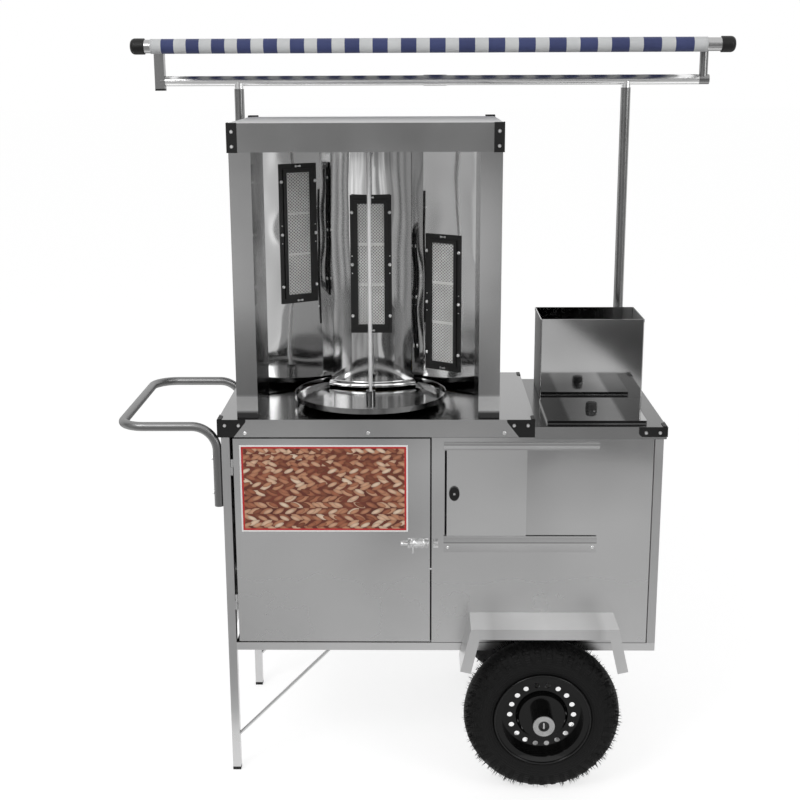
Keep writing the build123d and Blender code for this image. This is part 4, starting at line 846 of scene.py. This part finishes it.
def rod_mesh(bm, points, radius, sides=8):
    """A round wire through some points."""
    rings = []
    for index, point in enumerate(points):
        way = (points[min(index + 1, len(points) - 1)] - points[max(index - 1, 0)]).normalized()
        one = way.orthogonal().normalized()
        two = way.cross(one)
        turns = [2 * pi * k / sides for k in range(sides)]
        rings.append([bm.verts.new(point + radius * (one * cos(turn) + two * sin(turn)))
                      for turn in turns])
    for low, high in zip(rings, rings[1:]):
        best = min(range(sides), key=lambda s: (high[s].co - low[0].co).length)
        for k in range(sides):
            bm.faces.new((low[k], low[(k + 1) % sides], high[(k + 1 + best) % sides],
                          high[(k + best) % sides]))
    bm.faces.new(rings[0])
    bm.faces.new(rings[-1])


low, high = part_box("axle")
recess, pin_radius = 0.003, 0.0009
pin_wire = [(-0.0016, -0.0090), (-0.0011, -0.0040), (-0.0010, 0.0030), (-0.0011, 0.0074),
            (0.0, 0.0086), (0.0011, 0.0074), (0.0010, 0.0030), (0.0011, -0.0040), (0.0018, -0.0086)]
for end, face, out in (("front", low[1] + recess, -1), ("rear", high[1] - recess, 1)):
    bm = bmesh.new()
    depth = face + out * recess / 2
    rod_mesh(bm, [Vector((axle_x + a, depth, axle_z + b)) for a, b in pin_wire], pin_radius)
    piece(f"split_pin_{end}", bm, zinc, "cart")


# Floor, light and camera

def stage_plane(name, corners, mat):
    bm = bmesh.new()
    bm.faces.new([bm.verts.new(corner) for corner in corners])
    mesh = bpy.data.meshes.new(name)
    bm.to_mesh(mesh)
    bm.free()
    obj = bpy.data.objects.new(name, mesh)
    bpy.context.collection.objects.link(obj)
    mesh.materials.append(mat)
    return obj


def floor_area(x0, x1, y0, y1, z):
    """Corners of a level rectangle."""
    return [(x0, y0, z), (x1, y0, z), (x1, y1, z), (x0, y1, z)]


def wall_area(x0, x1, y, z0, z1):
    """Corners of an upright rectangle across the view."""
    return [(x0, y, z0), (x1, y, z0), (x1, y, z1), (x0, y, z1)]


def seen_rays(tree):
    """One for rays from the camera, a mirror or glass, none for the rest."""
    rays = add_node(tree, "LightPath").outputs
    return math(tree, "MAXIMUM", rays["Is Camera Ray"],
                math(tree, "MAXIMUM", rays["Is Glossy Ray"], rays["Is Transmission Ray"]))


def glowing(name, tone):
    """A matt material that also gives light of its own; its strength is linked by the caller."""
    mat, tree, shader = material(name)
    for socket, value in (("Base Color", (*grey(tone), 1)), ("Roughness", 1.0),
                          ("Specular IOR Level", 0.0), ("Emission Color", (1, 1, 1, 1))):
        set_socket(mat, socket, value)
    return mat, tree, shader


floor_tone, floor_glow = 0.45, 0.68
floor_mat, tree, shader = glowing("floor_white", floor_tone)
glow = math(tree, "MULTIPLY", seen_rays(tree), floor_glow)
tree.links.new(glow, shader.inputs["Emission Strength"])
stage_plane("floor", floor_area(-30, 30, -12, 60, 0), floor_mat)

card_half, card_high, front_y, flag_y, side_x = 5, 5, -6.5, -6.45, 4.5
card_z, flag_z = 0.002, 0.004  # floor cards and the smaller flags that lie over them
even = [(-card_half, 1.0), (card_half, 1.0)]


def studio_card(name, corners, axis, stops, strips=even):
    """A grey card round the cart that only shows in the metal.

    Its tone runs through stops along one axis and is multiplied by strips along X.
    """
    mat, tree, shader = glowing(name, 0.0)
    place = axes(tree)

    def run(value, pairs):
        """A tone along one coordinate through (place, tone) pairs."""
        low, high = pairs[0][0], pairs[-1][0]
        span = high - low
        share = math(tree, "DIVIDE", math(tree, "SUBTRACT", value, low), span)
        return ramp(tree, share, greys([((stop - low) / span, tone) for stop, tone in pairs]))

    tone, reflection_bands = run(place[axis], stops), run(place[0], strips)
    patches = shade(tree, noise(tree, 2.0, 1.0, (1, 0.3, 0.3)), 0.32, 0.70, 0.68, 1.22)
    tree.links.new(math(tree, "MULTIPLY", math(tree, "MULTIPLY", tone, reflection_bands), patches),
                   shader.inputs["Emission Strength"])
    card = stage_plane(name, corners, mat)
    card.visible_camera = False
    card.visible_diffuse = False
    card.visible_shadow = False


studio_card("floor_card", floor_area(-card_half, card_half, front_y, -0.6, card_z), 1,
            [(-6.5, 0.26), (-4.6, 0.26), (-3.8, 0.34), (-3.2, 0.50), (-0.6, 0.54)])
studio_card("bright_flag", [(0.45, -6.4, flag_z), (0.95, -6.4, flag_z), (1.25, -4.1, flag_z),
                            (0.45, -4.1, flag_z)], 1, [(-6.5, 0.52), (-4.0, 0.46)])
studio_card("dark_flag", [(0.95, -6.4, flag_z), (3.0, -6.4, flag_z), (3.0, -4.1, flag_z),
                          (1.25, -4.1, flag_z)], 1, [(-6.5, 0.05), (-4.0, 0.07)])
studio_card("panel_flag", [(0.45, -3.7, flag_z), (1.25, -3.7, flag_z), (1.25, -2.90, flag_z),
                           (1.05, -3.10, flag_z), (0.80, -3.20, flag_z), (0.60, -3.10, flag_z),
                           (0.45, -2.92, flag_z)], 1, [(-3.8, 0.12), (-2.8, 0.14)])
studio_card("front_card", wall_area(-card_half, card_half, front_y, 0, card_high), 2,
            [(0, 0.48), (0.5, 0.46), (1.0, 0.38), (1.15, 0.26), (1.4, 0.20), (1.5, 0.24),
             (1.75, 0.55), (2.25, 0.50), (2.4, 0.20), (2.75, 0.20), (3.05, 0.5), (5, 0.6)],
            [(-5, 1.5), (-2.2, 1.8), (-1.7, 1.7), (-1.45, 1.0), (-0.6, 1.0), (-0.2, 1.2),
             (0.35, 1.05), (0.55, 0.62), (1.1, 0.55), (1.35, 1.35), (2.3, 1.25), (2.6, 0.5),
             (5, 0.6)])
studio_card("fascia_flag", [(-0.20, flag_y, 1.10), (0.24, flag_y, 1.10), (0.30, flag_y, 1.50),
                            (-0.30, flag_y, 1.50)], 2, [(1.0, 0.10), (2.0, 0.08)])
studio_card("pillar_flag", wall_area(0.22, 0.62, flag_y, 0.30, 0.86), 2, [(0.0, 0.60), (1.0, 0.52)])

for side, turn_y, dim, light in ((-1, -2.10, 0.40, 0.90), (1, -2.70, 0.46, 0.72)):
    x = side * side_x
    corners = [(x, front_y, 0), (x, 0.5, 0), (x, 0.5, card_high), (x, front_y, card_high)]
    studio_card("side_card", corners, 1,
                [(-6.5, 0.8), (-5.7, 0.8), (-5.5, 0.15), (-4.9, 0.15), (-4.7, 0.8), (-3.9, 0.8),
                 (-3.7, 0.30), (-3.3, 0.30), (-3.1, 0.46), (turn_y - 0.03, dim),
                 (turn_y + 0.03, light), (-1.6, light * 0.9), (-1.45, 0.22), (0.5, 0.4)])

studio_card("rear_floor_card", floor_area(-card_half, card_half, 0.8, -front_y, card_z), 1,
            [(0.8, 0.50), (2.2, 0.44), (3.6, 0.36), (6.5, 0.30)])
studio_card("rear_card", wall_area(-card_half, card_half, -front_y, 0, 1.7), 2,
            [(0, 0.36), (1.0, 0.44), (1.7, 0.60)],
            [(-5, 1.0), (-1.5, 1.25), (0, 0.85), (1.5, 1.2), (5, 1.0)])

world = bpy.data.worlds.new("studio")
bpy.context.scene.world = world
world.use_nodes = True
tree = world.node_tree
tree.nodes.clear()
out = tree.nodes.new("ShaderNodeOutputWorld")
shown, lighting = 1.0, 0.7
strength = math(tree, "MULTIPLY_ADD", seen_rays(tree), shown - lighting, lighting)
back = add_node(tree, "Background", {"Color": (1, 1, 1, 1), "Strength": strength})
tree.links.new(back.outputs[0], out.inputs[0])


def area_light(name, place, aim, size, power):
    light = bpy.data.lights.new(name, "AREA")
    light.energy = power
    light.shape = "RECTANGLE"
    light.size, light.size_y = size
    obj = bpy.data.objects.new(name, light)
    bpy.context.collection.objects.link(obj)
    obj.location = place
    obj.rotation_euler = (Vector(aim) - Vector(place)).to_track_quat("-Z", "Y").to_euler()


area_light("key", (-2.2, -3.2, 3.6), (0, 0, 0.9), (2.0, 1.6), 55)
area_light("fill", (2.8, -2.6, 2.4), (0, 0, 0.8), (1.6, 1.6), 25)

cam_data = bpy.data.cameras.new("camera")
cam = bpy.data.objects.new("camera", cam_data)
bpy.context.collection.objects.link(cam)
bpy.context.scene.camera = cam
focal_pixels, image_pixels, sensor = 1330, 800, 36
cam_data.sensor_width = sensor
cam_data.lens = focal_pixels / image_pixels * sensor
cam_data.clip_start = 0.05
cam_data.clip_end = 100
yaw, pitch, roll = radians(0.85), radians(13.9), radians(-0.23)
forward = Vector((-sin(yaw) * cos(pitch), cos(yaw) * cos(pitch), -sin(pitch)))
turn = forward.to_track_quat("-Z", "Y").to_matrix() @ Matrix.Rotation(roll, 3, "Z")
cam.rotation_euler = turn.to_euler()
cam.location = (camera_x, -3.380, 1.719)

bpy.context.scene.view_settings.view_transform = "Standard"
